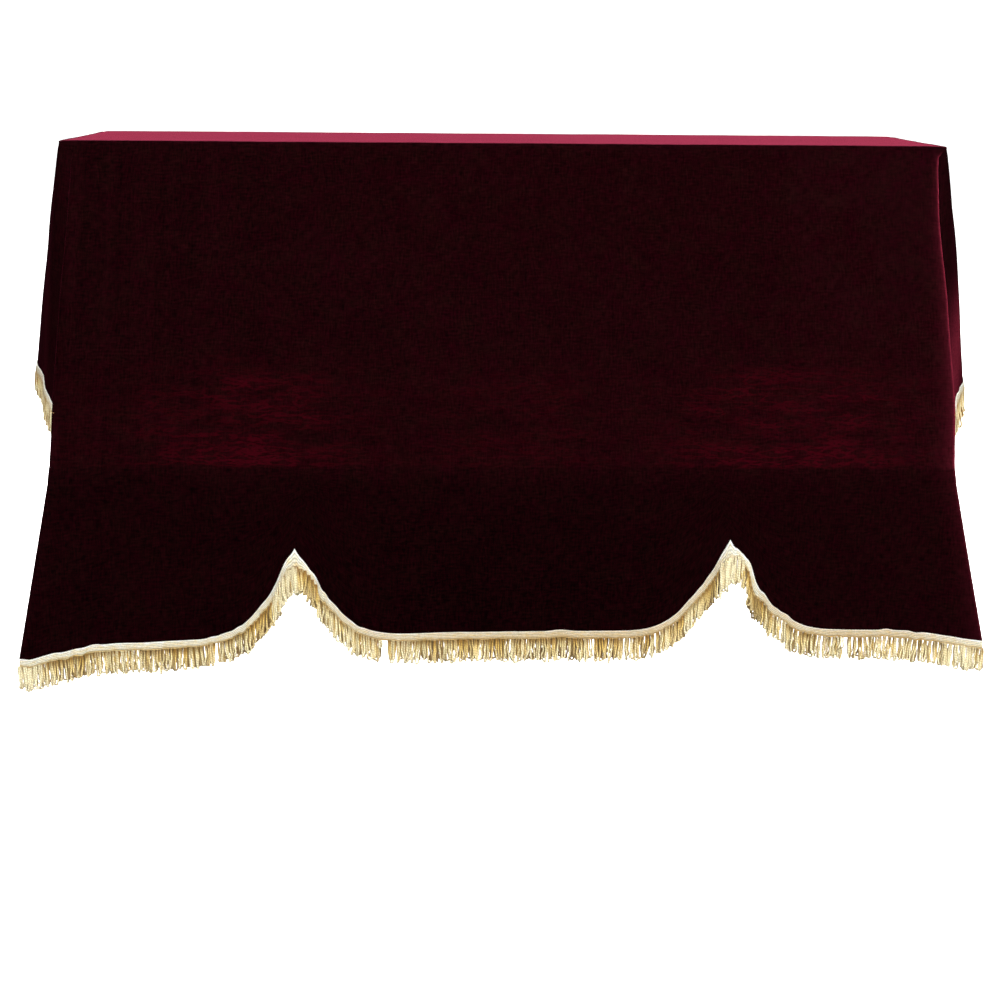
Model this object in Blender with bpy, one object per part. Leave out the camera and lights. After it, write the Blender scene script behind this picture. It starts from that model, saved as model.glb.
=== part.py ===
"""Velvet cover for an upright piano, draped as it hangs.

One long main panel runs from the back drop over the top, down the sloping front and on
to a free flap with a scalloped hem. Two side panels are sewn into it, and a looped
fringe on a woven heading edges the flap and both side hems.

Metres, +Z up. X runs along the piano and -Y is its front. The origin is under the top
of the cover, at the middle of the lid that it lies on.
"""
import math
import random
from collections import namedtuple

import bpy
from mathutils import Vector

# Cloth and trim
SHEET = 0.002
GAP = 0.0003
CORNER_EASE = 0.0003
HEADING_HEIGHT = 0.014
HEADING_THICK = 0.0015
HEADING_GAP = 0.0004
HEM_UNDER = 0.010
HEM_CLEAR = 0.001
FRINGE_LENGTH = 0.044
FRINGE_UNEVEN = 0.004
FRINGE_THICK = 0.003
FRINGE_ROOT = 0.004
FRINGE_SEED = 5

# The lid that the cover lies on, and the keybed that it hangs over
LID_LEFT = -0.753
LID_RIGHT = 0.757
LID_HALF_DEPTH = 0.1925
EDGE_RADIUS = 0.009
LID_BULGE = 0.003
CREASE_OUT = 0.2315
CREASE_DROP = 0.5225
CREASE_TURN = 0.013
CREASE_ROUND = 0.002
SLOPE_SAG = 0.006
SIDE_DROP = 0.410
BACK_FLARE = 0.018
BACK_FOLD_SHARE = 0.8
FOLD_GROWTH = 1.4
TABLE_EASE = 0.5

# Side edges of the main panel: at shares of the slope, then at the flap's and back hems
SeamPoint = namedtuple("SeamPoint", "share left right")
SEAM = (
    SeamPoint(0.00, -0.750, 0.754),
    SeamPoint(0.02, -0.729, 0.744),
    SeamPoint(0.06, -0.732, 0.742),
    SeamPoint(0.22, -0.735, 0.741),
    SeamPoint(0.48, -0.743, 0.749),
    SeamPoint(0.79, -0.748, 0.753),
    SeamPoint(1.00, -0.748, 0.746),
)
FLAP_LEFT = -0.813
FLAP_RIGHT = 0.812
BACK_LEFT = -0.786
BACK_RIGHT = 0.782

# Top of the fringe heading across the flap, without its two points
HemLevel = namedtuple("HemLevel", "x z")
HEM_LEVELS = (
    HemLevel(FLAP_LEFT, -0.8420),
    HemLevel(-0.730, -0.8240),
    HemLevel(-0.650, -0.8123),
    HemLevel(-0.500, -0.8075),
    HemLevel(-0.350, -0.8020),
    HemLevel(-0.200, -0.7975),
    HemLevel(0.200, -0.7915),
    HemLevel(0.530, -0.7905),
    HemLevel(0.680, -0.7930),
    HemLevel(FLAP_RIGHT, -0.8080),
)

# The points of the scalloped hem: each side falls away steeply and runs out to a long foot
Point = namedtuple("Point", "name x tip_z left_width right_width")
POINTS = (
    Point("left", -0.350, -0.6488, 0.214, 0.232),
    Point("right", 0.376, -0.6335, 0.217, 0.244),
)
FLANK_START = 0.26
FLANK_POWER = 2.45
SLANT_REACH = 0.003
SLANT_STEP = 0.002

# Soft folds in the flap: place, half width and outward depth, all at the hem
Fold = namedtuple("Fold", "x half_width depth")
FOLDS = (
    Fold(-0.830, 0.120, 0.014),
    Fold(-0.600, 0.110, 0.005),
    Fold(-0.440, 0.090, -0.005),
    Fold(-0.250, 0.110, 0.006),
    Fold(-0.060, 0.120, -0.003),
    Fold(0.130, 0.120, 0.004),
    Fold(0.300, 0.090, -0.005),
    Fold(0.480, 0.100, 0.006),
    Fold(0.660, 0.090, -0.003),
    Fold(0.840, 0.130, 0.012),
)

# Columns of the main panel, as places along the flap's hem between its points
LEFT_COLUMNS = (FLAP_LEFT, -0.785, -0.745, -0.690, -0.630)
MIDDLE_COLUMNS = (-0.065, -0.010, 0.045, 0.105)
RIGHT_COLUMNS = (0.665, 0.705, 0.745, 0.785, FLAP_RIGHT)
FLANK_SHARES = (1.00, 0.74, 0.52, 0.34, 0.19, 0.08)

# Heights of the side panels' rows, as shares from the lid's edge to the side hems
LEVELS = (0.00, 0.10, 0.30, 0.52, 0.76, 1.00)
TOP_ROWS = (-0.090, 0.010, 0.100)
LOW_SLOPE_ROWS = (0.90,)
FLAP_ROWS = (0.25, 0.50, 0.75)

# Ribs of a side panel between its two seams. Each runs from a place on the lid's edge
# to one on the hem, and bows outward most at a third of the way down.
BOW_PEAK = math.sqrt(1 / 3) * 2 / 3
Rib = namedtuple("Rib", "top_y hem_x hem_y lift bow")
LEFT_RIBS = (
    Rib(None, -0.770, -0.305, 0.007, 0.000),
    Rib(None, -0.801, -0.206, 0.015, 0.004),
    Rib(-0.160, -0.832, -0.106, 0.020, 0.006),
    Rib(-0.110, -0.838, -0.032, 0.018, 0.004),
    Rib(-0.050, -0.825, 0.042, 0.012, -0.002),
    Rib(0.020, -0.812, 0.098, 0.007, -0.003),
    Rib(0.100, -0.808, 0.150, 0.005, 0.000),
    Rib(None, -0.806, 0.186, 0.004, 0.002),
    Rib(None, -0.798, 0.202, 0.003, 0.001),
)
RIGHT_RIBS = (
    Rib(None, 0.766, -0.328, 0.000, -0.006),
    Rib(None, 0.793, -0.248, 0.000, 0.004),
    Rib(-0.160, 0.829, -0.152, 0.000, 0.008),
    Rib(-0.110, 0.837, -0.072, 0.001, 0.006),
    Rib(-0.050, 0.824, 0.010, 0.002, -0.002),
    Rib(0.020, 0.806, 0.080, 0.003, -0.004),
    Rib(0.100, 0.804, 0.142, 0.004, 0.000),
    Rib(None, 0.802, 0.184, 0.004, 0.002),
    Rib(None, 0.794, 0.202, 0.003, 0.001),
)
CORNER_POINTS = 3
TRIM_INSET = 0.003

# Width of the fringe comb's teeth with the gap beside each, and the tooth's share of it
FRONT_TOOTH = 0.0175
SIDE_TOOTH = 0.021
TOOTH_SHARES = (0.70, 0.86)

# Colour, roughness
VELVET = ((0.045, 0.003, 0.010, 1.0), 0.85)
HEADING_YARN = ((0.80, 0.70, 0.46, 1.0), 0.55)
FRINGE_YARN = ((0.78, 0.62, 0.30, 1.0), 0.50)

FRONT_EDGE_Y = -LID_HALF_DEPTH
BACK_EDGE_Y = LID_HALF_DEPTH
FLAP_Y = FRONT_EDGE_Y - CREASE_OUT
UNDER_LEVEL = 1.0 + HEM_UNDER / SIDE_DROP


def lerp(first, second, share):
    return first + (second - first) * share


def smooth_table(points, key, value, place):
    """Value at a place between a table's rows, eased from row to row."""
    if place <= getattr(points[0], key):
        return getattr(points[0], value)
    for low, high in zip(points, points[1:]):
        start, end = getattr(low, key), getattr(high, key)
        if place <= end:
            share = (place - start) / (end - start)
            eased = share * share * (3 - 2 * share)
            share = lerp(share, eased, TABLE_EASE)
            return lerp(getattr(low, value), getattr(high, value), share)
    return getattr(points[-1], value)


# ---------------------------------------------------------------- outline of the hem

def flank(share):
    """Height of a point's side: 1 at its tip, running out to 0 at its foot."""
    if share >= 1:
        return 0.0
    turn = math.pi * lerp(FLANK_START, 1.0, share)
    return ((1 + math.cos(turn)) / (1 + math.cos(math.pi * FLANK_START))) ** FLANK_POWER


def hem_height(x):
    """Height of the top of the fringe heading at a place along the flap's hem."""
    height = smooth_table(HEM_LEVELS, "x", "z", x)
    for point in POINTS:
        rise = point.tip_z - smooth_table(HEM_LEVELS, "x", "z", point.x)
        width = point.left_width if x < point.x else point.right_width
        height += rise * flank(abs(x - point.x) / width)
    return height


def hem_stretch(x):
    """How much longer an upright line across the slanting hem is than a square one."""
    total = 0.0
    for side in (x - SLANT_REACH, x + SLANT_REACH):
        rise = hem_height(side + SLANT_STEP) - hem_height(side - SLANT_STEP)
        slope = rise / (2 * SLANT_STEP)
        total += math.hypot(1.0, slope)
    return total / 2


def fold_depth(x):
    """How far the flap's folds stand out at a place along its hem."""
    depth = 0.0
    for fold in FOLDS:
        offset = abs(x - fold.x) / fold.half_width
        if offset < 1:
            depth += fold.depth * math.cos(math.pi / 2 * offset) ** 2
    return depth


def hem_columns():
    """Places of the main panel's columns along the hem, closer beside its points."""
    columns = list(LEFT_COLUMNS)
    for point in POINTS:
        columns += [point.x - point.left_width * share for share in FLANK_SHARES]
        columns.append(point.x)
        columns += [point.x + point.right_width * share for share in reversed(FLANK_SHARES)]
    columns += MIDDLE_COLUMNS + RIGHT_COLUMNS
    return sorted(columns)


# ---------------------------------------------------------------- main panel

def bend(centre_y, outward, angle):
    """Middle of the cloth on its bend over an edge of the lid: (y, z)."""
    centre_z = SHEET / 2 - EDGE_RADIUS
    return (centre_y + outward * EDGE_RADIUS * math.sin(angle),
            centre_z + EDGE_RADIUS * math.cos(angle))


SLOPE_TURN = math.atan2(CREASE_DROP, CREASE_OUT)
FRONT_BEND_Y = FRONT_EDGE_Y + EDGE_RADIUS - LID_BULGE
BACK_BEND_Y = BACK_EDGE_Y - EDGE_RADIUS
SLOPE_TOP = bend(FRONT_BEND_Y, -1, SLOPE_TURN)
BACK_TOP = bend(BACK_BEND_Y, 1, math.pi / 2)
# Rows over the lid, back to front: two on each bend and those of the top between them
OVER_LID = (
    bend(BACK_BEND_Y, 1, math.pi / 4),
    bend(BACK_BEND_Y, 1, 0.0),
    *((y, SHEET / 2) for y in reversed(TOP_ROWS)),
    bend(FRONT_BEND_Y, -1, 0.0),
    bend(FRONT_BEND_Y, -1, SLOPE_TURN / 2),
)


def slope_at(share):
    """Middle of the cloth on the sloping front, from the lid's edge to the crease."""
    sag = SLOPE_SAG * 4 * share * (1 - share)
    return (lerp(SLOPE_TOP[0], FLAP_Y, share) + sag, lerp(SLOPE_TOP[1], -CREASE_DROP, share))


def level_share(level):
    """Share of the slope at a level of the side panels."""
    return (SIDE_DROP * level) / (CREASE_DROP + SLOPE_TOP[1])


def spread(left, right, columns, along):
    """One row of the main panel: its columns spread from its left to its right edge."""
    span = columns[-1] - columns[0]
    return [Vector((lerp(left, right, (x - columns[0]) / span), *along)) for x in columns]


def main_panel_grid(columns):
    """Rows of the main panel from its back hem over the top to the scalloped hem."""
    rows = []
    for level in (UNDER_LEVEL, *reversed(LEVELS)):
        left = lerp(LID_LEFT, BACK_LEFT, level)
        right = lerp(LID_RIGHT, BACK_RIGHT, level)
        along = (BACK_TOP[0] + BACK_FLARE * level, BACK_TOP[1] - SIDE_DROP * level)
        row = spread(left, right, columns, along)
        for x, point in zip(columns, row):
            point.y += BACK_FOLD_SHARE * fold_depth(x) * level
        rows.append(row)

    rows += [spread(LID_LEFT, LID_RIGHT, columns, along) for along in OVER_LID]

    shares = [level_share(level) for level in (*LEVELS, UNDER_LEVEL)]
    shares += [*LOW_SLOPE_ROWS, 1 - CREASE_TURN / CREASE_DROP]
    for share in shares:
        left = smooth_table(SEAM, "share", "left", share)
        right = smooth_table(SEAM, "share", "right", share)
        rows.append(spread(left, right, columns, slope_at(share)))

    along = (FLAP_Y + CREASE_ROUND, -CREASE_DROP)
    crease = spread(SEAM[-1].left, SEAM[-1].right, columns, along)
    rows.append(crease)
    turn = CREASE_TURN / (-hem_height(0.0) - CREASE_DROP)
    for share in (turn, *FLAP_ROWS, 1.0):
        row = []
        for x, top in zip(columns, crease):
            y = FLAP_Y - fold_depth(x) * share ** FOLD_GROWTH
            row.append(Vector((lerp(top.x, x, share), y, lerp(top.z, hem_height(x), share))))
        rows.append(row)
    under = []
    for x, above in zip(columns, rows[-1]):
        drop = HEM_UNDER * hem_stretch(x)
        under.append(above + Vector((0, 0, -drop)))
    rows.append(under)
    return rows


# ---------------------------------------------------------------- side panels

def row_normals(grid, index):
    """Directions square to the cloth along one row of a grid."""
    row = grid[index]
    before = grid[max(index - 1, 0)]
    after = grid[min(index + 1, len(grid) - 1)]
    normals = []
    for i in range(len(row)):
        along = row[min(i + 1, len(row) - 1)] - row[max(i - 1, 0)]
        down = after[i] - before[i]
        normals.append(along.cross(down).normalized())
    return normals


def seam_line(main, side):
    """The main panel's edge that a side panel is sewn to, with its outward direction."""
    edge, inner = (0, 1) if side < 0 else (-1, -2)
    return [(row[edge], (row[edge] - row[inner]).normalized()) for row in main]


def side_panel_grid(main, side, ribs):
    """Rows of a side panel from the lid's edge to its hem, front seam first."""
    seam = seam_line(main, side)
    levels = (*LEVELS, UNDER_LEVEL)
    back_count = len(levels)
    first_slope = back_count + len(OVER_LID)
    back = list(reversed(seam[:back_count]))
    front = seam[first_slope:first_slope + len(levels)]
    corners = {0: seam[first_slope - 1], 1: seam[first_slope - 2],
               len(ribs) - 2: seam[back_count + 1], len(ribs) - 1: seam[back_count]}

    tops = []
    lid_edge = LID_LEFT if side < 0 else LID_RIGHT
    for index, rib in enumerate(ribs):
        point, _ = corners.get(index, (Vector((lid_edge, 0, SHEET / 2)), None))
        tops.append(point if rib.top_y is None else Vector((point.x, rib.top_y, point.z)))

    grid = []
    outward = Vector((side, 0, 0))
    for row, level in enumerate(levels):
        points = [front[row][0].copy()]
        for rib, top in zip(ribs, tops):
            hem = Vector((rib.hem_x, rib.hem_y, -SIDE_DROP + rib.lift))
            bow = rib.bow * math.sqrt(level) * (1 - level) / BOW_PEAK
            points.append(top.lerp(hem, level) + outward * bow)
        points.append(back[row][0].copy())
        grid.append(points)

    # Stand the sewn edges off the main panel, by the gap and the cloth's own thickness
    for point in grid[0]:
        point += outward * (GAP + SHEET / 2)
    for row in range(1, len(grid)):
        normals = row_normals(grid, row)
        for column, (_, away) in ((0, front[row]), (-1, back[row])):
            grid[row][column] += away * (GAP + SHEET / 2 * abs(normals[column].dot(away)))
    for point in (*grid[0][:CORNER_POINTS], grid[1][0]):
        point += outward * CORNER_EASE
    return grid


# ---------------------------------------------------------------- fringe trim

def stand_off_vectors(upper, lower):
    """Vectors that carry each column of a strip one metre out from the faces beside it."""
    faces = []
    for i in range(len(upper) - 1):
        along = upper[i + 1] - upper[i]
        down = lower[i] + lower[i + 1] - upper[i] - upper[i + 1]
        faces.append(down.cross(along).normalized())
    vectors = []
    for i in range(len(upper)):
        before, after = faces[max(i - 1, 0)], faces[min(i, len(faces) - 1)]
        mean = (before + after).normalized()
        vectors.append(mean / mean.dot(after))
    return vectors


def trim_lines(grid, inset):
    """Top of the heading, step down the cloth and step out from it, by column."""
    top, under = grid[-2], grid[-1]
    steps = [(low - high) / HEM_UNDER for high, low in zip(top, under)]
    lines = list(zip(top, steps, stand_off_vectors(top, under)))
    ends = []
    for end, neighbour in ((lines[0], lines[1]), (lines[-1], lines[-2])):
        share = inset / (neighbour[0] - end[0]).length
        ends.append(tuple(a.lerp(b, share) for a, b in zip(end, neighbour)))
    return [ends[0], *lines[1:-1], ends[1]]


def heading_grid(lines):
    """Two rows of the heading, laid on the outside of the cloth's hem."""
    stand_off = SHEET / 2 + HEADING_GAP + HEADING_THICK / 2
    grid = []
    for reach in (0.0, HEADING_HEIGHT):
        grid.append([point + step * reach + out * stand_off for point, step, out in lines])
    return grid


def comb_mesh(lines, pitch, seed):
    """Vertices and faces of a comb that hangs from the heading, its teeth upright."""
    rng = random.Random(seed)
    set_back = SHEET / 2 - FRINGE_THICK / 2
    root_top = HEM_UNDER + HEM_CLEAR
    root_foot = HEADING_HEIGHT + FRINGE_ROOT
    vertices = []
    faces = []

    def add_line(place, share):
        low, high = lines[place], lines[min(place + 1, len(lines) - 1)]
        point, step, out = (a.lerp(b, share) for a, b in zip(low, high))
        point = point + out * set_back
        vertices.append(point + step * root_top)
        vertices.append(point + step * root_foot)
        return len(vertices) - 2

    last = add_line(0, 0.0)
    for place in range(len(lines) - 1):
        length = (lines[place + 1][0] - lines[place][0]).length
        teeth = max(1, round(length / pitch))
        for tooth in range(teeth):
            width = rng.uniform(*TOOTH_SHARES)
            end = add_line(place, (tooth + width) / teeth)
            faces.append((last, last + 1, end + 1, end))
            hang = FRINGE_LENGTH - FRINGE_ROOT - rng.uniform(0, FRINGE_UNEVEN)
            for root in (last + 1, end + 1):
                vertices.append(vertices[root] + Vector((0, 0, -hang)))
            tip = len(vertices) - 2
            faces.append((last + 1, tip, tip + 1, end + 1))
            if place == len(lines) - 2 and tooth == teeth - 1:
                continue
            last = add_line(place, (tooth + 1) / teeth)
            faces.append((end, end + 1, last + 1, last))
    return vertices, faces


# ---------------------------------------------------------------- objects

def make_material(name, colour, roughness):
    material = bpy.data.materials.new(name)
    material.use_nodes = True
    shader = material.node_tree.nodes["Principled BSDF"]
    shader.inputs["Base Color"].default_value = colour
    shader.inputs["Roughness"].default_value = roughness
    return material


def add_cloth(name, vertices, faces, thickness, material):
    """An object whose one layer of faces is given the cloth's thickness."""
    mesh = bpy.data.meshes.new(name)
    mesh.from_pydata([tuple(vertex) for vertex in vertices], [], faces)
    mesh.materials.append(material)
    piece = bpy.data.objects.new(name, mesh)
    bpy.context.scene.collection.objects.link(piece)
    body = piece.modifiers.new("Thickness", "SOLIDIFY")
    body.thickness = thickness
    body.offset = 0.0
    body.use_even_offset = True
    return piece


def add_grid(name, grid, thickness, material):
    """A cloth object from rows of points."""
    width = len(grid[0])
    vertices = [point for row in grid for point in row]
    faces = []
    for row in range(len(grid) - 1):
        for column in range(width - 1):
            corner = row * width + column
            faces.append((corner, corner + 1, corner + width + 1, corner + width))
    return add_cloth(name, vertices, faces, thickness, material)


def add_trim(place, grid, pitch, inset, seed, heading_yarn, fringe_yarn):
    """Heading and fringe of one hem."""
    lines = trim_lines(grid, inset)
    add_grid(f"fringe_heading_{place}", heading_grid(lines), HEADING_THICK, heading_yarn)
    vertices, faces = comb_mesh(lines, pitch, seed)
    add_cloth(f"fringe_loops_{place}", vertices, faces, FRINGE_THICK, fringe_yarn)


def build():
    for item in list(bpy.data.objects):
        bpy.data.objects.remove(item, do_unlink=True)
    velvet = make_material("velvet", *VELVET)
    heading_yarn = make_material("heading_yarn", *HEADING_YARN)
    fringe_yarn = make_material("fringe_yarn", *FRINGE_YARN)

    main = main_panel_grid(hem_columns())
    add_grid("main_panel", main, SHEET, velvet)
    add_trim("front", main, FRONT_TOOTH, 0.0, FRINGE_SEED, heading_yarn, fringe_yarn)
    sides = (("left", -1, LEFT_RIBS), ("right", 1, RIGHT_RIBS))
    for seed, (place, side, ribs) in enumerate(sides, FRINGE_SEED + 1):
        panel = side_panel_grid(main, side, ribs)
        if side < 0:
            panel = [list(reversed(row)) for row in panel]
        add_grid(f"side_panel_{place}", panel, SHEET, velvet)
        add_trim(place, panel, SIDE_TOOTH, TRIM_INSET, seed, heading_yarn, fringe_yarn)


build()
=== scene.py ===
"""Velvet cover for an upright piano, draped as it hangs, with its looped gold trim.

Metres, +Z up. X runs along the piano and -Y is its front. The origin is under the top
of the cover, at the middle of the lid that it lies on.
"""
import math
from collections import namedtuple
from functools import partialmethod

import bpy
import numpy as np
from mathutils import Matrix, Vector, noise


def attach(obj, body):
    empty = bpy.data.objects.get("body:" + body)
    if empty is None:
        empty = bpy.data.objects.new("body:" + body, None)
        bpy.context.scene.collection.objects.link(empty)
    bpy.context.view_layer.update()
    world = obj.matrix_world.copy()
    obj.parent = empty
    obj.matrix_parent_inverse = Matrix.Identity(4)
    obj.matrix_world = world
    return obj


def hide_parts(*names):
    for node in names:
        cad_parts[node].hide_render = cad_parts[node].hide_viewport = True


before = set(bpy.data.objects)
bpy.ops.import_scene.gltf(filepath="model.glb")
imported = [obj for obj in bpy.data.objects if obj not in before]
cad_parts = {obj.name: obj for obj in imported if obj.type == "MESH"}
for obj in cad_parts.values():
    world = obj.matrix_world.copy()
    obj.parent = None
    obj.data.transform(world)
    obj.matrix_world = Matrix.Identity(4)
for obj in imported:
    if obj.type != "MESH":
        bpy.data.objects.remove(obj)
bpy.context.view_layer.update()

bl_info = {
    "name": "Piano Cover",
    "version": (1, 0, 0),
    "blender": (4, 5, 0),
    "location": "3D View > Sidebar > Piano Cover",
    "description": "Makes a draped velvet piano cover with its braid and looped fringe",
    "category": "Object",
}

ROOT = "root"


def table(columns, *rows):
    """Rows with named columns."""
    kind = namedtuple("Row", columns)
    return tuple(kind(*row) for row in rows)


# ---------------------------------------------------------------- sizes of the drape

SHEET = 0.002
GAP = 0.0003
HEADING_HEIGHT = 0.014
HEADING_THICK = 0.0015
HEM_UNDER = 0.010

LID_LEFT, LID_RIGHT = -0.753, 0.757
LID_HALF_DEPTH = 0.1925
EDGE_RADIUS = 0.009
LID_BULGE = 0.003
CREASE_OUT = 0.2315
CREASE_DROP = 0.5225
CREASE_TURN = 0.013
CREASE_ROUND = 0.002
SLOPE_SAG = 0.006
SIDE_DROP = 0.410
BACK_FLARE = 0.018
BACK_FOLD_SHARE = 0.8
FOLD_GROWTH = 1.4
TABLE_EASE = 0.5
FLAP_LEFT, FLAP_RIGHT = -0.813, 0.812
BACK_LEFT, BACK_RIGHT = -0.786, 0.782

# The main panel's sewn edges, by the share of the slope that lies above
SEAM = table(
    "share left right",
    (0.00, -0.750, 0.754), (0.02, -0.729, 0.744), (0.06, -0.732, 0.742), (0.22, -0.735, 0.741),
    (0.48, -0.743, 0.749), (0.79, -0.748, 0.753), (1.00, -0.748, 0.746))

# The flap's hem at the top of the braid, without its points and buckles
HEM_LEVELS = table(
    "x z",
    (FLAP_LEFT, -0.8420), (-0.730, -0.8240), (-0.650, -0.8123), (-0.500, -0.8075),
    (-0.350, -0.8020), (-0.200, -0.7975), (0.200, -0.7915), (0.530, -0.7905), (0.680, -0.7930),
    (FLAP_RIGHT, -0.8080))
POINTS = table(
    "x tip_z left_width right_width",
    (-0.350, -0.6488, 0.214, 0.232), (0.376, -0.6335, 0.217, 0.244))
FLANK_START = 0.26
FLANK_POWER = 2.45
STRETCH_REACH = 0.003
STRETCH_STEP = 0.002

# Places where the braid buckles out of its line
BUCKLES = table(
    "x half_width rise",
    (-0.8130, 0.020, 0.0048), (-0.7400, 0.022, -0.0026), (-0.6900, 0.020, 0.0030),
    (-0.4930, 0.012, 0.0022), (-0.4710, 0.024, 0.0030), (-0.4490, 0.010, 0.0017),
    (-0.3930, 0.018, -0.0040), (-0.3660, 0.016, 0.0065), (-0.3290, 0.017, 0.0052),
    (-0.3155, 0.012, 0.0082), (-0.3005, 0.006, 0.0028), (-0.2840, 0.012, 0.0022),
    (-0.2460, 0.012, -0.0022), (0.0950, 0.030, 0.0024), (0.3080, 0.016, 0.0020),
    (0.3340, 0.009, -0.0027), (0.3500, 0.018, -0.0040), (0.3890, 0.007, 0.0026),
    (0.4020, 0.020, 0.0135), (0.4125, 0.011, 0.0095), (0.4330, 0.016, -0.0040),
    (0.4362, 0.008, 0.0040), (0.4505, 0.010, -0.0033), (0.4755, 0.013, 0.0030),
    (0.6490, 0.014, 0.0022), (0.6990, 0.014, -0.0021))

# Soft folds in the flap, with their outward depth at the hem
FOLDS = table(
    "x half_width depth",
    (-0.830, 0.120, 0.014), (-0.600, 0.110, 0.005), (-0.440, 0.090, -0.005),
    (-0.250, 0.110, 0.006), (-0.060, 0.120, -0.003), (0.130, 0.120, 0.004),
    (0.300, 0.090, -0.005), (0.480, 0.100, 0.006), (0.660, 0.090, -0.003),
    (0.840, 0.130, 0.012))

# Ribs of a side panel between its two seams: from a place on the lid's edge to its hem
BOW_PEAK = math.sqrt(1 / 3) * 2 / 3
RIB = "top_y hem_x hem_y lift bow"
LEFT_RIBS = table(
    RIB,
    (None, -0.770, -0.305, 0.007, 0.000), (None, -0.801, -0.206, 0.015, 0.004),
    (-0.160, -0.832, -0.106, 0.020, 0.006), (-0.110, -0.838, -0.032, 0.018, 0.004),
    (-0.050, -0.825, 0.042, 0.012, -0.002), (0.020, -0.812, 0.098, 0.007, -0.003),
    (0.100, -0.808, 0.150, 0.005, 0.000), (None, -0.806, 0.186, 0.004, 0.002),
    (None, -0.798, 0.202, 0.003, 0.001))
RIGHT_RIBS = table(
    RIB,
    (None, 0.766, -0.328, 0.000, -0.006), (None, 0.793, -0.248, 0.000, 0.004),
    (-0.160, 0.829, -0.152, 0.000, 0.008), (-0.110, 0.837, -0.072, 0.001, 0.006),
    (-0.050, 0.824, 0.010, 0.002, -0.002), (0.020, 0.806, 0.080, 0.003, -0.004),
    (0.100, 0.804, 0.142, 0.004, 0.000), (None, 0.802, 0.184, 0.004, 0.002),
    (None, 0.794, 0.202, 0.003, 0.001))

FRONT_EDGE_Y, BACK_EDGE_Y = -LID_HALF_DEPTH, LID_HALF_DEPTH
FLAP_Y = FRONT_EDGE_Y - CREASE_OUT
UNDER_LEVEL = 1.0 + HEM_UNDER / SIDE_DROP

# ---------------------------------------------------------------- cloth in detail

# Grid of the cloth: spacing of its columns and of its rows in each region
COLUMN_STEP = 0.0042
POINT_COLUMN_STEP = 0.0026
POINT_REACH = 0.110
EDGE_COLUMNS = (0.0008, 0.0018, 0.0030, 0.0044, 0.0062, 0.0085)
BACK_STEP = 0.019
TOP_STEP = 0.024
SLOPE_STEP = 0.0110
BAND_STEP = 0.0042
FLAP_STEP = 0.0082
BEND_ROWS = 6
CREASE_ROWS = 6
INNER_STEP = 3
INNER_ROW = 0.0115
SIDE_COLUMN_STEP = 0.0055
SIDE_ROW_STEP = 0.0058
SIDE_WIDTH = 0.6
SIDE_EDGE_COLUMNS = (0.0, 0.0018, 0.0040, 0.0066)

# The crushed band above the crease, as shares of the slope
BAND_START, BAND_FULL, BAND_FOOT, BAND_END = 0.60, 0.80, 0.90, 0.985
BAND_EDGE, FOOT_EDGE = 0.02, 0.04

# How strongly it is crushed: its patches, its foot, and the least that is left of it
PATCH_LEVEL, PATCH_DEPTH = 0.55, 0.85
FOOT_LEVEL = 0.5
BAND_LEAST = 0.15

# A seam rolls the cloth's edge in: how wide and how deep, and where it ends on the slope
ROLL_WIDTH = 0.0090
SEAM_HOLD = 0.030
ROLL_DEPTH = 0.0046
LEFT_ROLL_DEPTH = 0.0020
TOP_ROLL_DEPTH = 0.0016
ROLL_START, ROLL_END = 0.765, 0.800

# A side panel's sewn edge lies behind the main panel's: how far behind and how far in
TUCK = 0.0024
TUCK_IN = 0.0012

# Seam allowance that a side panel turns in behind the main panel, by its columns
ALLOWANCE = (0.0100, 0.0070, 0.0045, 0.0022)

# Turned hems of the free edges: where their stitch line lies and how deep it pulls
HEM_LINE = 0.013
HEM_PULL = 0.0006
HEM_PULL_WIDTH = 0.0035

# Creases in the front, from one end to the other, dips below zero, and how much of its
# height a crease has at its ends
CREASE_END = 0.55
CREASES = table(
    "x0 z0 x1 z1 half_width height",
    (-0.687, -0.012, -0.675, -0.331, 0.0075, 0.0013),
    (-0.6965, -0.377, -0.6935, -0.454, 0.0070, 0.0013),
    (-0.3935, -0.469, -0.355, -0.495, 0.0070, 0.0014),
    (-0.370, -0.480, -0.358, -0.521, 0.0065, 0.0011),
    (-0.623, -0.502, -0.586, -0.503, 0.0060, 0.0010),
    (-0.433, -0.471, -0.347, -0.504, 0.0060, -0.0010),
    (0.507, -0.424, 0.600, -0.418, 0.0065, 0.0012),
    (0.560, -0.447, 0.700, -0.439, 0.0065, 0.0013),
    (0.520, -0.470, 0.664, -0.461, 0.0070, -0.0012),
    (0.584, -0.492, 0.705, -0.485, 0.0065, 0.0012),
    (0.384, -0.455, 0.404, -0.445, 0.0060, 0.0012),
    (0.404, -0.445, 0.424, -0.455, 0.0060, 0.0012),
    (0.424, -0.455, 0.404, -0.466, 0.0060, 0.0010),
    (0.404, -0.466, 0.384, -0.455, 0.0060, 0.0010),
    (0.2486, -0.398, 0.280, -0.503, 0.0075, 0.0012),
    (0.330, -0.477, 0.334, -0.477, 0.0090, 0.0014),
    (0.578, -0.492, 0.583, -0.492, 0.0090, 0.0012),
    (-0.285, -0.534, -0.148, -0.533, 0.0060, 0.0009),
    (0.698, -0.584, 0.720, -0.621, 0.0070, 0.0011),
    (-0.070, -0.430, 0.060, -0.437, 0.0090, 0.0009),
    (-0.210, -0.455, -0.120, -0.446, 0.0080, -0.0009),
    (0.090, -0.482, 0.190, -0.474, 0.0080, 0.0009),
    (-0.560, -0.452, -0.470, -0.441, 0.0080, 0.0009))

# Where the band is crushed: how strongly its painted glints and its crinkled relief show
BAND_PATCHES = table(
    "x half_width strength",
    (-0.450, 0.300, 1.00), (0.020, 0.330, 0.35), (0.500, 0.340, 1.10))
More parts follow.
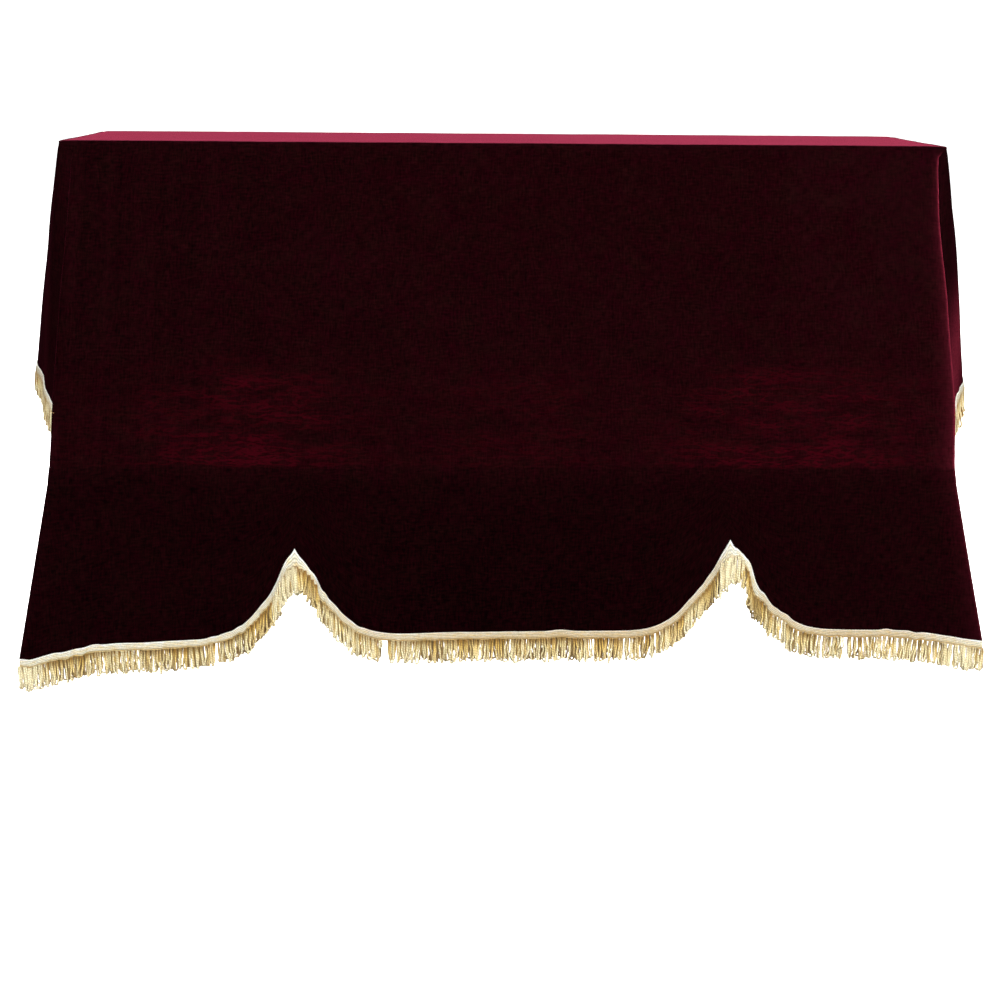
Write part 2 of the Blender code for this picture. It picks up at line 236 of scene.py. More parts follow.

# How light the pile is painted, from 0 dark to 1 light: its level, painted light that rises
# from left to right, the darker middle of the flap, painted shade below the crease, a
# lighter stretch of slope at the right, and the pile's upright streaks at the left
LAY_LEVEL = 0.53
LAY_TILT = 0.05
LAY_FLAP_DARK = 0.22
LAY_FLAP_WIDTH = 0.52
LAY_BELOW_CREASE = 0.04
LAY_RIGHT = 0.07
LAY_RIGHT_START = 0.480
LAY_RIGHT_FADE = 0.006
STREAK_DEPTH = 0.20
STREAK_LENGTH = (0.013, 0.60)
STREAK_END = -0.30
STREAK_FADE = 0.3

# Painted sheen: a pink highlight along the front's right edge, and a painted lit patch across
# the right side panel
RIDGE_CORE = 0.85
RIDGE_WIDTH = 0.0024
RIDGE_FADE = 0.26
RIDGE_REACH, RIDGE_REACH_GROWTH = 0.004, 0.010
RIDGE_ON_FLAP = 0.45
RIDGE_START = 0.03
SHEEN_PATCH_STRENGTH = 0.75
SHEEN_PATCH_REACH = 0.31
SHEEN_PATCH_WIDTH = 0.17
SHEEN_PATCH_LEVEL = 0.55
SHEEN_PATCH_SLANT = 0.42
SHEEN_PATCH_TOP, SHEEN_PATCH_GROWTH = 0.40, 0.26

# Waves in the cloth, by their length across and down it: the front's broad sway, the
# band's crinkles, its patches and its foot, the top's ripple and the side panels' waves
SWAY_LENGTH = (0.17, 0.52)
CRINKLE_LENGTH = (0.040, 0.009)
PATCH_LENGTH = (0.085, 0.020)
FOOT_LENGTH = (0.045, 0.012)
RIPPLE_LENGTH = (0.09, 0.06)
RIPPLE_DEPTH = 0.0004
SIDE_SWAY_LENGTH = (0.10, 0.34)
SIDE_RIPPLE_LENGTH = (0.040, 0.15)

# How loosely each region hangs, against the sway's depth: the slope, the flap from its
# crease and down to its hem, the back and the side panels, with the drop that frees them
SLOPE_SWAY = 1.6
FLAP_SWAY, FLAP_SWAY_GROWTH = 0.55, 0.9
BACK_SWAY = 1.2
SIDE_SWAY, SIDE_RIPPLE = 1.5, 0.5
SLOPE_FREE, BACK_FREE, SIDE_FREE = 0.3, 0.4, 0.14

# From one octave of a wave to the next
OCTAVE_SCALE, OCTAVE_SEED = 2.03, 7.3

# A seed for each wave, so that no two of them match
SWAY_SEED, PATCH_SEED, FOOT_SEED, CRINKLE_SEED = 3.1, 9.4, 14.2, 21.7
RIPPLE_SEED, PUCKER_SEED, STREAK_SEED = 31.0, 41.3, 63.0

# Puckers of the sewn trim: their length, how far up they reach, and those of the sides
PUCKER_LENGTH = 0.021
PUCKER_FADE = 0.022
SIDE_PUCKER = 0.8

# Keep the side panels' patterns apart from the front's and from each other
SIDE_SHIFT, SIDE_SEED = 2.0, 50.0

# Extra rows between a side panel's hem line and its lower edge, as levels, and the main
# panel's, as shares of the part under the braid
SIDE_HEM_ROWS = (1.008, 1.016)
MAIN_HEM_ROWS = (0.33, 0.67, 0.9, 1.0)


def lerp(first, second, share):
    return first + (second - first) * share


def ease(value):
    """Smooth step of a value held between 0 and 1."""
    value = np.clip(value, 0.0, 1.0)
    return value * value * (3 - 2 * value)


def smooth_table(rows, value, place):
    """Value at a place between a table's rows, by its first column, eased row to row."""
    if place <= rows[0][0]:
        return getattr(rows[0], value)
    for low, high in zip(rows, rows[1:]):
        if place <= high[0]:
            share = (place - low[0]) / (high[0] - low[0])
            share = lerp(share, share * share * (3 - 2 * share), TABLE_EASE)
            return lerp(getattr(low, value), getattr(high, value), share)
    return getattr(rows[-1], value)


def flank(share):
    """Height of a point's side: 1 at its tip, running out to 0 at its foot."""
    if share >= 1:
        return 0.0
    turn = math.pi * lerp(FLANK_START, 1.0, share)
    return ((1 + math.cos(turn)) / (1 + math.cos(math.pi * FLANK_START))) ** FLANK_POWER


def hump(rows, x, field):
    """Sum of a table's soft humps at a place."""
    total = 0.0
    for row in rows:
        offset = abs(x - row.x) / row.half_width
        if offset < 1:
            total += getattr(row, field) * math.cos(math.pi / 2 * offset) ** 2
    return total


def hem_height(x):
    """Height of the top of the braid at a place along the flap's hem."""
    height = smooth_table(HEM_LEVELS, "z", x)
    for point in POINTS:
        rise = point.tip_z - smooth_table(HEM_LEVELS, "z", point.x)
        width = point.left_width if x < point.x else point.right_width
        height += rise * flank(abs(x - point.x) / width)
    return height + hump(BUCKLES, x, "rise")


def hem_stretch(x):
    """How much longer an upright line across the slanting hem is than a square one."""
    total = 0.0
    for place in (x - STRETCH_REACH, x + STRETCH_REACH):
        rise = hem_height(place + STRETCH_STEP) - hem_height(place - STRETCH_STEP)
        total += math.hypot(1.0, rise / (2 * STRETCH_STEP))
    return total / 2


def bend(centre_y, outward, angle):
    """Middle of the cloth on its bend over an edge of the lid: (y, z)."""
    centre_z = SHEET / 2 - EDGE_RADIUS
    return (centre_y + outward * EDGE_RADIUS * math.sin(angle),
            centre_z + EDGE_RADIUS * math.cos(angle))


SLOPE_TURN = math.atan2(CREASE_DROP, CREASE_OUT)
FRONT_BEND_Y = FRONT_EDGE_Y + EDGE_RADIUS - LID_BULGE
BACK_BEND_Y = BACK_EDGE_Y - EDGE_RADIUS
SLOPE_TOP = bend(FRONT_BEND_Y, -1, SLOPE_TURN)
BACK_TOP = bend(BACK_BEND_Y, 1, math.pi / 2)
SLOPE_LENGTH = math.hypot(SLOPE_TOP[0] - FLAP_Y, SLOPE_TOP[1] + CREASE_DROP)


def slope_at(share):
    """Middle of the cloth on the sloping front, from the lid's edge to the crease."""
    sag = SLOPE_SAG * 4 * share * (1 - share)
    return (lerp(SLOPE_TOP[0], FLAP_Y, share) + sag, lerp(SLOPE_TOP[1], -CREASE_DROP, share))


def level_share(level):
    """Share of the slope at a level of the side panels."""
    return (SIDE_DROP * level) / (CREASE_DROP + SLOPE_TOP[1])


def steps(start, end, step):
    """Evenly spread values from start to end, about a step apart."""
    count = max(1, round(abs(end - start) / step))
    return [lerp(start, end, i / count) for i in range(count + 1)]


def noise_at(*place):
    return noise.noise(Vector(place))


def seam_open(share):
    """0 where the panels are sewn together down the slope, easing to 1 below."""
    return ease((share - ROLL_START) / (ROLL_END - ROLL_START))


# ---------------------------------------------------------------- meshes and pieces

Cloth = namedtuple("Cloth", "points flat masks inner hem")


def grid_normals(points):
    """Outward unit normals of a grid of points whose rows cross columns outward."""
    normals = np.cross(np.gradient(points, axis=0), np.gradient(points, axis=1))
    return normals / np.linalg.norm(normals, axis=2, keepdims=True)


def lengths_along(points):
    """Distance of each point along the line that they make."""
    pieces = np.linalg.norm(np.diff(points, axis=0), axis=1)
    return np.concatenate([[0.0], np.cumsum(pieces)])


def new_mesh(name, vertices, faces, *materials):
    """A smooth mesh with its materials."""
    mesh = bpy.data.meshes.new(name)
    mesh.from_pydata(vertices, [], [tuple(map(int, face)) for face in faces])
    for material in materials:
        mesh.materials.append(material)
    mesh.polygons.foreach_set("use_smooth", np.ones(len(faces), dtype=bool))
    return mesh


def set_flat(mesh, across, down):
    """Give a mesh its places on the flat cloth, by vertex."""
    corner = np.zeros(len(mesh.loops), dtype=np.int32)
    mesh.loops.foreach_get("vertex_index", corner)
    flat = np.stack([across[corner], down[corner]], 1).astype(np.float32)
    mesh.uv_layers.new(name="cloth").data.foreach_set("uv", flat.reshape(-1))


def set_values(mesh, values):
    """Give a mesh its named numbers or vectors, by vertex."""
    for key, value in values.items():
        vectors = value.ndim == 2
        made = mesh.attributes.new(key, "FLOAT_VECTOR" if vectors else "FLOAT", "POINT")
        made.data.foreach_set("vector" if vectors else "value",
                              value.astype(np.float32).reshape(-1))


def link(name, data):
    """A new object in the scene."""
    made = bpy.data.objects.new(name, data)
    bpy.context.scene.collection.objects.link(made)
    return made


def cloth_mesh(name, cloth, outside):
    """A closed sheet of cloth: a fine outer face, a coarser inner face and its rim."""
    rows, columns, _ = cloth.points.shape
    half = grid_normals(cloth.points) * (SHEET / 2)
    kept_rows = cloth.inner
    kept_columns = sorted({0, columns - 1, *range(0, columns, INNER_STEP)})
    kept = np.ix_(kept_rows, kept_columns)
    inner = (cloth.points - half)[kept]

    index = np.arange(rows * columns).reshape(rows, columns)
    back = rows * columns + np.arange(inner[..., 0].size).reshape(inner.shape[:2])
    faces = [(index[r, c], index[r + 1, c], index[r + 1, c + 1], index[r, c + 1])
             for r in range(rows - 1) for c in range(columns - 1)]
    outer_count = len(faces)
    faces += [(back[r, c], back[r, c + 1], back[r + 1, c + 1], back[r + 1, c])
              for r in range(len(kept_rows) - 1) for c in range(len(kept_columns) - 1)]
    inner_end = len(faces)
    for grid, fine, stops, turned in ((back, index, kept_rows, False),
                                      (back.T, index.T, kept_columns, True)):
        for i, (start, stop) in enumerate(zip(stops, stops[1:])):
            for edge in (0, -1):
                face = [grid[i, edge], grid[i + 1, edge]]
                face += list(fine[start:stop + 1, edge])[::-1]
                faces.append(face[::-1] if turned != (edge == -1) else face)

    vertices = np.concatenate([(cloth.points + half).reshape(-1, 3), inner.reshape(-1, 3)])
    mesh = new_mesh(name, vertices.tolist(), faces, finish(outside), finish("velvet_ground"))
    places = np.zeros(len(faces), dtype=np.int32)
    places[outer_count:inner_end] = 1
    mesh.polygons.foreach_set("material_index", places)

    def by_vertex(values):
        return np.concatenate([values.reshape(-1), values[kept].reshape(-1)])

    set_flat(mesh, *map(by_vertex, cloth.flat))
    set_values(mesh, {key: by_vertex(values) for key, values in cloth.masks.items()})
    link(name, mesh)


def keep(name, slot, *nodes):
    """Attach a finished piece to the root body in place of its CAD nodes, which it hides."""
    piece = bpy.data.objects[name]
    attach(piece, ROOT)
    if nodes:
        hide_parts(*nodes)
    return piece


# ---------------------------------------------------------------- main panel

def main_columns():
    """Places of the main panel's columns along the flap's hem."""
    marks = [FLAP_LEFT + EDGE_COLUMNS[-1]]
    for point in POINTS:
        marks += [point.x - POINT_REACH, point.x + POINT_REACH]
    marks.append(FLAP_RIGHT - EDGE_COLUMNS[-1])
    columns = [FLAP_LEFT, *(FLAP_LEFT + inset for inset in EDGE_COLUMNS[:-1])]
    for i, (start, end) in enumerate(zip(marks, marks[1:])):
        columns += steps(start, end, POINT_COLUMN_STEP if i % 2 else COLUMN_STEP)[:-1]
    columns += [*(FLAP_RIGHT - inset for inset in EDGE_COLUMNS[::-1]), FLAP_RIGHT]
    for point in POINTS:
        nearest = min(range(len(columns)), key=lambda i: abs(columns[i] - point.x))
        columns[nearest] = point.x
    return np.array(columns)


Rows = namedtuple("Rows", "points share flap inner hem")


def main_rows(hem_x):
    """Middle of the main panel without its small creases, and what each row is.

    share runs down the slope, below 0 before it and above 1 on the flap. flap is the
    share of the flap. inner are the rows that the inner face keeps, and hem is the row
    at the top of the braid.
    """
    across = (hem_x - hem_x[0]) / (hem_x[-1] - hem_x[0])
    folds = np.array([hump(FOLDS, x, "depth") for x in hem_x])
    heights = np.array([hem_height(x) for x in hem_x])
    stretch = np.array([hem_stretch(x) for x in hem_x])
    rows = []

    def add(left, right, y, z, share=-1.0, flap=-1.0):
        x = left + (right - left) * across
        y = np.broadcast_to(y, x.shape)
        z = np.broadcast_to(z, x.shape)
        rows.append((np.stack([x, y, z], 1), share, flap))

    for level in (UNDER_LEVEL, *steps(1.0, 0.0, BACK_STEP / SIDE_DROP)):
        add(lerp(LID_LEFT, BACK_LEFT, level), lerp(LID_RIGHT, BACK_RIGHT, level),
            BACK_TOP[0] + BACK_FLARE * level + BACK_FOLD_SHARE * folds * level,
            BACK_TOP[1] - SIDE_DROP * level, share=-2.0 - level)
    for angle in steps(math.pi / 2, 0.0, math.pi / 2 / BEND_ROWS)[1:]:
        add(LID_LEFT, LID_RIGHT, *bend(BACK_BEND_Y, 1, angle))
    for y in steps(BACK_BEND_Y, FRONT_BEND_Y, TOP_STEP)[1:]:
        add(LID_LEFT, LID_RIGHT, y, SHEET / 2)
    for angle in steps(0.0, SLOPE_TURN, SLOPE_TURN / BEND_ROWS)[1:-1]:
        add(LID_LEFT, LID_RIGHT, *bend(FRONT_BEND_Y, -1, angle))

    crease_start = 1 - CREASE_TURN / CREASE_DROP
    shares = steps(0.0, BAND_START, SLOPE_STEP / SLOPE_LENGTH)[:-1]
    shares += steps(BAND_START, crease_start, BAND_STEP / SLOPE_LENGTH)
    for share in shares:
        add(smooth_table(SEAM, "left", share), smooth_table(SEAM, "right", share),
            *slope_at(share), share=share)

    left, right = SEAM[-1].left, SEAM[-1].right
    above = slope_at(crease_start)
    turn = CREASE_TURN / (-hem_height(0.0) - CREASE_DROP)
    x_top = left + (right - left) * across

    def flap_row(share):
        y = FLAP_Y - folds * share ** FOLD_GROWTH
        return np.stack([x_top + (hem_x - x_top) * share, y,
                         -CREASE_DROP + (heights + CREASE_DROP) * share], 1)

    below = flap_row(turn)
    for i in range(1, CREASE_ROWS):
        t = i / CREASE_ROWS
        x = x_top * (1 - t) + below[:, 0] * t
        y = (1 - t) ** 2 * above[0] + 2 * t * (1 - t) * (FLAP_Y + CREASE_ROUND / 2)
        y = y + t * t * below[:, 1]
        z = (1 - t) ** 2 * above[1] - 2 * t * (1 - t) * (CREASE_DROP - CREASE_ROUND / 2)
        z = z + t * t * below[:, 2]
        rows.append((np.stack([x, y, z], 1), 1.0, 0.0))
    flap_length = -CREASE_DROP - hem_height(0.0)
    for share in steps(turn, 1.0, FLAP_STEP / flap_length):
        rows.append((flap_row(share), 1.0 + share, share))
    hem = len(rows) - 1
    for part in MAIN_HEM_ROWS:
        drop = HEM_UNDER * part * stretch
        rows.append((rows[hem][0] - np.stack([0 * drop, 0 * drop, drop], 1), 2.0, 1.0))

    points, share, flap = (np.array(part) for part in zip(*rows))
    inner = [0]
    for r in range(1, len(rows) - 1):
        length = np.linalg.norm(points[r, 0] - points[inner[-1], 0])
        curved = share[r] == -1.0 and abs(points[r, 0, 2] - SHEET / 2) > 1e-6
        if length > INNER_ROW or curved or share[r] == 1.0:
            inner.append(r)
    inner.append(len(rows) - 1)
    return Rows(points, share, flap, inner, hem)


def crease_field(x, z, seen):
    """Height of the creases in the front at each point, where seen."""
    field = np.zeros_like(x)
    for crease in CREASES:
        dx, dz = crease.x1 - crease.x0, crease.z1 - crease.z0
        length = math.hypot(dx, dz)
        along = ((x - crease.x0) * dx + (z - crease.z0) * dz) / length ** 2
        along = np.clip(along, 0.0, 1.0)
        away = np.hypot(x - crease.x0 - along * dx, z - crease.z0 - along * dz)
        fade = lerp(CREASE_END, 1.0, np.sin(math.pi * along))
        near = np.clip(1 - away / crease.half_width, 0.0, 1.0)
        field += crease.height * fade * near * near * (3 - 2 * near)
    return field * seen


def noise_field(u, v, length, seed, octaves=2):
    """Smooth noise over the flat cloth, about -1 to 1, from waves of a length."""
    values = np.zeros(u.size)
    flat_u, flat_v = u.reshape(-1) / length[0], v.reshape(-1) / length[1]
    for octave in range(octaves):
        scale = OCTAVE_SCALE ** octave
        part = [noise_at(a * scale, b * scale, seed + OCTAVE_SEED * octave)
                for a, b in zip(flat_u.tolist(), flat_v.tolist())]
        values += np.array(part) * 0.5 ** octave
    return values.reshape(u.shape)


def seam_roll(left, right, share):
    """How far the sewn edges are rolled in, by distance from each and share of the slope."""
    distance = np.minimum(left, right)
    depth = np.where(left < right, LEFT_ROLL_DEPTH, ROLL_DEPTH)
    depth = np.where(np.abs(share + 1.0) < 0.01, TOP_ROLL_DEPTH, depth)
    near = np.clip(1 - distance / ROLL_WIDTH, 0.0, 1.0)
    return depth * (1 - seam_open(share)) * near * near


def main_surface(cloth):
    """The main panel as it hangs."""
    hem_x = main_columns()
    rows = main_rows(hem_x)
    points = rows.points
    across = np.ones(len(hem_x))
    share, flap = rows.share[:, None] * across, rows.flap[:, None] * across
    u, v = points[:, :, 0], lengths_along(points[:, len(hem_x) // 2])[:, None] * across
    x, z = points[:, :, 0], points[:, :, 2]
    on_front, on_back = share >= 0, share < -1.5
    on_slope = on_front & (share < 1)

    flap_share = np.clip(flap, 0, 1)
    hang = np.where(on_slope, ease(share / SLOPE_FREE), 0.0)
    hang = np.where(share >= 1, FLAP_SWAY + FLAP_SWAY_GROWTH * flap_share, hang)
    hang = np.where(on_back, ease((-2.0 - share) / BACK_FREE) * BACK_SWAY, hang)
    sway = noise_field(u, v, SWAY_LENGTH, SWAY_SEED) * cloth.sway_depth * SLOPE_SWAY * hang

    band = ease((share - BAND_START) / (BAND_FULL - BAND_START))
    band *= ease((BAND_END - share) / BAND_EDGE) * on_slope
    patches = PATCH_LEVEL + PATCH_DEPTH * noise_field(u, v, PATCH_LENGTH, PATCH_SEED)
    foot = FOOT_LEVEL + noise_field(u, v, FOOT_LENGTH, FOOT_SEED)
    foot *= ease((share - BAND_FOOT) / FOOT_EDGE)
    crushed = np.clip(band * (patches + foot), 0.0, 1.0)
    crinkle = noise_field(u, v, CRINKLE_LENGTH, CRINKLE_SEED) * cloth.crinkle_depth * crushed
    ripple = 1 + noise_field(u, v, RIPPLE_LENGTH, RIPPLE_SEED)
    ripple = RIPPLE_DEPTH * ripple * (share == -1.0)

    field = sway + crinkle + ripple
    field += crease_field(x, z, on_front.astype(float))

    # Where the panel is sewn to a side panel it keeps to the seam
    left = np.abs(x - x[:, :1])
    right = np.abs(x[:, -1:] - x)
    distance = np.minimum(left, right)
    free = seam_open(share) * on_front
    field *= free + (1 - free) * ease((distance - ROLL_WIDTH) / SEAM_HOLD)

    above_hem = np.clip(z - z[rows.hem], 0.0, None)
    pucker = noise_field(u[:1], u[:1] * 0 + 0.5, (PUCKER_LENGTH, 1.0), PUCKER_SEED)
    fade = np.exp(-above_hem / PUCKER_FADE) * (flap > 0)
    field += cloth.pucker_depth * pucker * fade

    # Seams roll the cloth in, and stitch lines pull at its turned hems
    field -= seam_roll(left, right, share)
    line = np.clip(1 - np.abs(distance - HEM_LINE) / HEM_PULL_WIDTH, 0.0, 1.0)
    field -= HEM_PULL * ease(line) * free
    line = np.clip(1 - np.abs(v - HEM_LINE) / HEM_PULL_WIDTH, 0.0, 1.0)
    field -= HEM_PULL * ease(line) * on_back

    points = points + grid_normals(points) * field[:, :, None]
    strong = np.array([hump(BAND_PATCHES, place, "strength") for place in x[0]])
    crushed *= np.clip(strong, BAND_LEAST, 1.0)
    # Painted light and shade: lighter to the right, darker in the flap's middle, a painted
    # shade step below the crease and a lighter stretch at the right, over the pile's streaks
    lay = LAY_LEVEL + LAY_TILT * x / FLAP_RIGHT
    lay -= LAY_FLAP_DARK * flap_share ** 0.5 * np.exp(-(x / LAY_FLAP_WIDTH) ** 2)
    lay -= LAY_BELOW_CREASE * (share >= 1)
    lay += LAY_RIGHT * ease((x - LAY_RIGHT_START) / LAY_RIGHT_FADE) * on_slope
    streaks = noise_field(u, v, STREAK_LENGTH, STREAK_SEED)
    streaks *= ease((STREAK_END - x) / STREAK_FADE)
    lay += STREAK_DEPTH * streaks * on_slope

    # Painted sheen: a pink highlight along the right edge, fading inward, growing down the
    # slope and weaker on the flap
    glow = RIDGE_CORE * np.exp(-(right / RIDGE_WIDTH) ** 2)
    reach = RIDGE_REACH + RIDGE_REACH_GROWTH * np.clip(share, 0.0, 1.0)
    glow += RIDGE_FADE * np.exp(-right / reach)
    glow *= ease(share / RIDGE_START) * np.where(share >= 1, RIDGE_ON_FLAP, 1.0)
    masks = {"crushed": crushed, "lay": np.clip(lay, 0.0, 1.0),
             "bloom": np.clip(glow, 0.0, 1.0)}
    return Cloth(points, (u, v), masks, rows.inner, rows.hem)


# ---------------------------------------------------------------- side panels

def seam_place(level, side, back):
    """Edge of the main panel that a side panel is sewn to, at a level down the side."""
    roll = LEFT_ROLL_DEPTH if side < 0 else ROLL_DEPTH
    if back:
        lid, foot, hem_x = ((LID_LEFT, BACK_LEFT, FLAP_LEFT) if side < 0
                            else (LID_RIGHT, BACK_RIGHT, FLAP_RIGHT))
        fold = hump(FOLDS, hem_x, "depth")
        y = BACK_TOP[0] + BACK_FLARE * level + BACK_FOLD_SHARE * fold * level
        return np.array([lerp(lid, foot, level), y - roll - TUCK,
                         BACK_TOP[1] - SIDE_DROP * level])
    share = level_share(level)
    y, z = slope_at(share)
    depth = roll * (1 - seam_open(share)) + TUCK
    return np.array([smooth_table(SEAM, "left" if side < 0 else "right", share),
                     y + depth * math.sin(SLOPE_TURN), z - depth * math.cos(SLOPE_TURN)])


def spline(values, places, wanted):
    """Catmull-Rom spline through values at places, read at the wanted places."""
    slopes = np.gradient(values, places, axis=0)
    found = np.searchsorted(places, wanted, side="right") - 1
    found = np.clip(found, 0, len(places) - 2)
    width = (places[found + 1] - places[found])[:, None]
    t = ((wanted - places[found])[:, None]) / width
    a, b = values[found], values[found + 1]
    ma, mb = slopes[found] * width, slopes[found + 1] * width
    return ((2 * t ** 3 - 3 * t ** 2 + 1) * a + (t ** 3 - 2 * t ** 2 + t) * ma
            + (-2 * t ** 3 + 3 * t ** 2) * b + (t ** 3 - t ** 2) * mb)


def side_rows(side, ribs, levels):
    """Middle of a side panel without its waves, row by row from seam to seam."""
    lid_edge = LID_LEFT if side < 0 else LID_RIGHT
    outward = np.array([side, 0.0, 0.0])
    corner = {0: bend(FRONT_BEND_Y, -1, SLOPE_TURN / 2), 1: bend(FRONT_BEND_Y, -1, 0.0),
              len(ribs) - 2: bend(BACK_BEND_Y, 1, 0.0),
              len(ribs) - 1: bend(BACK_BEND_Y, 1, math.pi / 4)}
    tops = [np.array([lid_edge, *corner.get(i, (rib.top_y, SHEET / 2))])
            for i, rib in enumerate(ribs)]
    even = np.linspace(0.0, 1.0, round(SIDE_WIDTH / SIDE_COLUMN_STEP))
    close = np.array(SIDE_EDGE_COLUMNS) / SIDE_WIDTH
    places = np.unique(np.concatenate([even, close, 1 - close]))
    turned_in = -outward * np.array(ALLOWANCE)[:, None]
    rows = []
    for level in levels:
        points = [seam_place(level, side, False) - outward * TUCK_IN]
        for rib, top in zip(ribs, tops):
            foot = np.array([rib.hem_x, rib.hem_y, -SIDE_DROP + rib.lift])
            bow = rib.bow * math.sqrt(level) * (1 - level) / BOW_PEAK
            points.append(top + (foot - top) * level + outward * bow)
        points.append(seam_place(level, side, True) - outward * TUCK_IN)
        points = np.array(points)
        if level == 0.0:
            points[1:-1] += outward * (GAP + SHEET / 2)
        here = lengths_along(points)
        row = spline(points, here, places * here[-1])
        rows.append(np.concatenate([row[0] + turned_in, row, row[-1] + turned_in[::-1]]))
    return np.array(rows)


def side_surface(side, ribs, cloth):
    """A side panel as it hangs, with its columns running so that it faces outward."""
    levels = [*steps(0.0, 1.0, SIDE_ROW_STEP / SIDE_DROP), *SIDE_HEM_ROWS, UNDER_LEVEL]
    hem = levels.index(1.0)
    points = side_rows(side, ribs, levels)[:, ::side]
    along = lengths_along(points[hem]) - ALLOWANCE[0]
    across = np.ones(len(along))
    u = along + (SIDE_SHIFT + side) + np.zeros((len(levels), 1))
    v = (np.array(levels) * SIDE_DROP)[:, None] * across
    seed = SIDE_SEED + side
    loose = ease(v / SIDE_FREE)
    sway = noise_field(u, v, SIDE_SWAY_LENGTH, seed) * cloth.sway_depth * SIDE_SWAY
    ripple = noise_field(u, v, SIDE_RIPPLE_LENGTH, seed + 4) * cloth.sway_depth * SIDE_RIPPLE
    free = ease(np.minimum(along, along[-1] - ALLOWANCE[0] - along) / SEAM_HOLD)
    pucker = noise_field(u[:1], u[:1] * 0 + 0.2, (PUCKER_LENGTH, 1.0), seed + 9)
    fade = np.exp(-np.abs(SIDE_DROP - v) / PUCKER_FADE)
    field = (sway * loose + ripple * loose) * free
    field += cloth.pucker_depth * SIDE_PUCKER * pucker * fade * free
    points = points + grid_normals(points) * field[:, :, None]
    points[0, :, 2] = np.minimum(points[0, :, 2], SHEET / 2)
    last = len(levels) - 1
    inner = sorted({0, 1, *range(INNER_STEP, last, INNER_STEP), hem, last})
    bloom = np.zeros_like(u)
    # Painted sheen: a lit pink patch low on the right side panel
    if side > 0:
        level = np.clip(v / SIDE_DROP, 0.0, 1.0)
        middle = SHEEN_PATCH_REACH * (1 - (level - SHEEN_PATCH_LEVEL) / SHEEN_PATCH_SLANT)
        bloom = SHEEN_PATCH_STRENGTH * np.exp(-((along - middle) / SHEEN_PATCH_WIDTH) ** 2)
        bloom *= ease((level - SHEEN_PATCH_TOP) / SHEEN_PATCH_GROWTH)
    masks = {"crushed": np.zeros_like(u), "lay": np.full_like(u, LAY_LEVEL), "bloom": bloom}
    return Cloth(points, (u, v), masks, inner, hem)


# ---------------------------------------------------------------- trim

STATION_STEP = 0.0015
STAND_OFF = SHEET / 2 + GAP
SMOOTHING = 9

# Painted light and shade on the braid along the flap: how lit it is at each place
BRAID_TONES = table(
    "x level",
    (-0.813, 0.985), (-0.690, 1.00), (-0.578, 0.93), (-0.463, 0.95), (-0.385, 0.99),
    (-0.348, 1.08), (-0.318, 1.02), (-0.290, 0.93), (-0.232, 0.87), (-0.117, 0.825),
    (0.000, 0.79), (0.113, 0.775), (0.229, 0.77), (0.344, 0.86), (0.366, 0.95), (0.382, 1.08),
    (0.408, 1.12), (0.424, 1.00), (0.438, 0.86), (0.459, 0.86), (0.575, 0.775), (0.690, 0.805),
    (0.760, 0.90), (0.812, 0.97))
# Painted light on the side panels' braids
SIDE_TONE = 0.95
RIBS_ACROSS = 5
RIB_POINTS = 4
RIB_HEIGHT = 0.0008
RIB_FULLNESS = 0.7
EDGE_SHARE = 0.45
BACK_ACROSS = (1.0, 0.97, 0.5, 0.03, 0.0)
BACK_PROFILE = (0.0002, 0.0, 0.0, 0.0, 0.0002)
TONGUE_WIDTH = 0.019
TONGUE = 0.70
FLANK_NARROW = 0.27
NIB_WIDTH = 0.0045
NIB_RISE = 0.0022
NIB_SHARPNESS = 1.4

# How far the braid's foot and its top stray, and its grain, each with its waves' length
FOOT_WANDER, FOOT_WANDER_LENGTH = 0.0022, 0.014
TOP_WANDER, TOP_WANDER_LENGTH = 0.0005, 0.05
GRAIN, GRAIN_LENGTH = 0.00035, 0.004

Line = namedtuple("Line", "points downs outs lengths")


def trim_line(points, normals, hem):
    """Where the braid lies: top edge, step down the cloth and way out, by station."""
    length = lengths_along(points[hem])
    wanted = np.linspace(0.0, length[-1], round(length[-1] / STATION_STEP) + 1)

    def read(values):
        return np.stack([np.interp(wanted, length, part) for part in values.T], 1)

    outs = np.stack([np.convolve(np.pad(part, SMOOTHING // 2, "edge"),
                                 np.ones(SMOOTHING) / SMOOTHING, "valid")
                     for part in read(normals[hem]).T], 1)
    outs /= np.linalg.norm(outs, axis=1, keepdims=True)
    down = (points[-1] - points[hem]) / HEM_UNDER
    return Line(read(points[hem]), read(down), outs, wanted)


def drift(line, length, *seed):
    """Random change along a line, about -1 to 1."""
    return np.array([noise_at(place / length, *seed) for place in line.lengths])


def tip_nearness(x, width):
    """1 at the tip of a point and 0 at a width beside it and beyond."""
    nearest = np.min([np.abs(x - point.x) for point in POINTS], axis=0)
    return np.clip(1 - nearest / width, 0.0, 1.0)


def steepness(line):
    """How steeply the trim climbs at each place: 0 where it is level."""
    return np.clip(np.abs(np.gradient(line.points[:, 2], line.lengths)), 0.0, 1.0)


def braid_height(line, pointed):
    """Height of the braid at each place: taller at the tips, where its turns overlap."""
    height = HEADING_HEIGHT + FOOT_WANDER * drift(line, FOOT_WANDER_LENGTH, 2.3, 7.0)
    height *= 1 - FLANK_NARROW * steepness(line)
    if pointed:
        nearness = tip_nearness(line.points[:, 0], TONGUE_WIDTH)
        height += HEADING_HEIGHT * TONGUE * ease(nearness)
    return height


